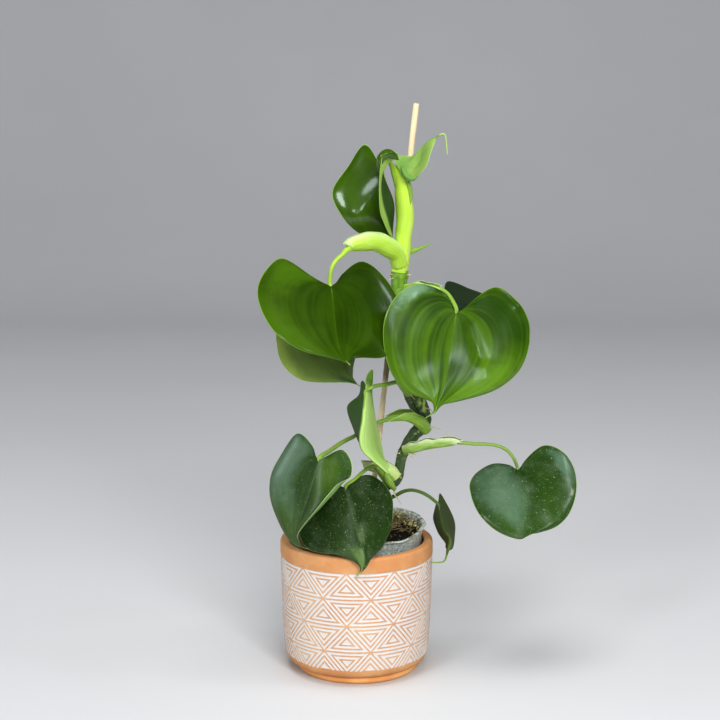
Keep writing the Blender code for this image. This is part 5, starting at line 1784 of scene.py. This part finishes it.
# For each leaf with a sheath: how far it reaches round toward the viewer and away, at its foot and at
# its free end, in degrees from the keel. Pale is the share of the way to the rim where it starts to
# turn pale, and lip is how many millimetres its free end runs on along the rims. A calm below 1 makes
# the rims less wavy, and dry is the share of its length where its end starts to turn pale.
SHEATHS = {
    "leaf_left_broad": dict(front=(178, 172), rear=(178, 172), pale=0.25, lip=3.0, calm=0.25),
    "leaf_right_broad": dict(front=(160, 110), rear=(160, 130), pale=0.8, lip=1.5),
    "leaf_hanging": dict(front=(165, 90), rear=(165, 120), pale=0.75, lip=1.5),
    "leaf_low_left": dict(front=(165, 78), rear=(165, 150), pale=0.8, lip=2.0),
    "leaf_low_right": dict(front=(165, 140), rear=(170, 165), pale=0.35, lip=7.0, dry=0.7),
    "leaf_low_front": dict(front=(160, 100), rear=(160, 120), pale=0.8, lip=1.0),
    "leaf_under": dict(front=(160, 100), rear=(160, 100), pale=0.8, lip=1.0),
    "leaf_behind": dict(front=(165, 110), rear=(165, 110), pale=0.8, lip=1.0),
}


def sheath_grid(path, radius, side, rim, wall, pale, lip, seed, calm=1.0, dry_from=0.9):
    """A channel round the path: for each angle f from the keel, path + r (sin f sideways - cos f up).

    The angles run between the two rims on the outside and back on the inside, where r is less by the
    wall, which thins toward the rims. The free end reaches further on along the rims than at the
    keel. The mark rises to 1 at the rims and past dry_from along, and calm scales the rims' waves.
    """
    rows, columns = len(path), 41
    ahead, sideways, up = directions(path, side)
    share = np.linspace(-1, 1, columns)
    end = np.arange(rows)[:, None] / (rows - 1)
    angle = np.where(share < 0, -rim[0][:, None], rim[1][:, None]) * np.abs(share)
    angle = angle * (1 + 0.06 * calm * np.abs(share) ** 3 * uneven(path, 9 * MM, seed)[:, None])
    thick = wall * (1 - 0.75 * np.abs(share) ** 3)
    flare = calm * (uneven(path * 1.3, 12 * MM, seed + 1)[:, None] + 0.4 * end)
    flare = 1 + 0.16 * np.abs(share) ** 4 * flare
    ways = np.sin(angle)[..., None] * sideways[:, None] - np.cos(angle)[..., None] * up[:, None]
    reach = lip * MM * np.abs(share) ** 1.5 * np.clip((end - 0.85) / 0.15, 0, 1) ** 1.5
    ragged = 1 + 0.35 * np.sin(share * 23 + seed) * np.abs(share)
    drift = ahead[:, None] * (reach * ragged)[..., None]
    outer = path[:, None] + ways * (radius[:, None] * flare + thick / 2)[..., None] + drift
    inner = path[:, None] + ways * (radius[:, None] * flare - thick / 2)[..., None] + drift
    edge = np.clip((np.abs(share) - pale) / (1 - pale), 0, 1) + 0 * end
    dry = np.clip((end - dry_from) / (1 - dry_from), 0, 1) * np.abs(share) ** 0.7
    mark = np.maximum(edge, dry)
    return np.concatenate([outer, inner[:, ::-1]], 1), np.concatenate([mark, mark[:, ::-1]], 1)


def stalk_piece(name, skin):
    """Stalk and sheath of one leaf."""
    path, radius = stalk_route(name)
    side = level_side(np.array([STALKS[name][0][:3], STALKS[name][-1][:3]]) * MM)
    slim = SLIM.get(name, USUAL_SLIM) * MM
    widest = radius.max()
    _, _, up = directions(path, side)
    core = np.minimum(radius, slim * (1 + 0.5 * np.clip(radius / slim - 1, 0, 1)))
    spine = path - up * (radius - core)[:, None]
    stem_part("stalk" + name[4:], [tube(spine, core, 20, side, groove=0.10)], skin)
    if name not in SHEATHS:
        return
    look = SHEATHS[name]
    end = np.nonzero(radius > 0.55 * widest)[0].max()
    rows = np.linspace(0, end, 100)
    index = np.arange(len(path))
    run = np.stack([np.interp(rows, index, path[:, k]) for k in range(3)], -1)
    wide = np.interp(rows, index, radius)
    goes_left = STALKS[name][-1][0] < STALKS[name][0][0]
    rims = [np.radians(np.interp(rows, [0, 0.3 * end, end], [foot, foot, tip])) for foot, tip in
            (look["rear"], look["front"])]
    grid, mark = sheath_grid(run, wide, side, rims if goes_left else rims[::-1], 0.9 * MM,
                             look["pale"], look["lip"], len(name), look.get("calm", 1.0),
                             look.get("dry", 0.9))
    stem_part("sheath" + name[4:], [grid], skin, [mark])


STALK_SKINS = {
    "leaf_left_broad": "young_sheath", "leaf_small_right": "old_stalk", "leaf_low_right": "dry_sheath",
}
for leaf in STALKS:
    stalk_piece(leaf, STALK_SKINS.get(leaf, "sheath_skin" if leaf in SHEATHS else "stalk_skin"))

# %% The husk round the lowest stalk
def husk():
    """A dry, half clear sheath, torn at its end, round the foot of the lowest stalk."""
    path, radius = route(TUBES["husk"], 90)
    side = level_side(path)
    front = np.radians(np.interp(np.arange(90), [0, 30, 89], [172, 165, 150]))
    rear = np.radians(np.interp(np.arange(90), [0, 30, 89], [172, 170, 165]))
    grid, mark = sheath_grid(path, radius, side, (rear, front), 0.7 * MM, 0.5, 3.0, 97)
    stem_part("husk", [grid], "husk_skin", [mark])
    path, radius = route(TUBES["shoot"], 40)
    stem_part("shoot", [tube(path, radius, 20, (1, 0, 0))], "sheath_skin")


husk()
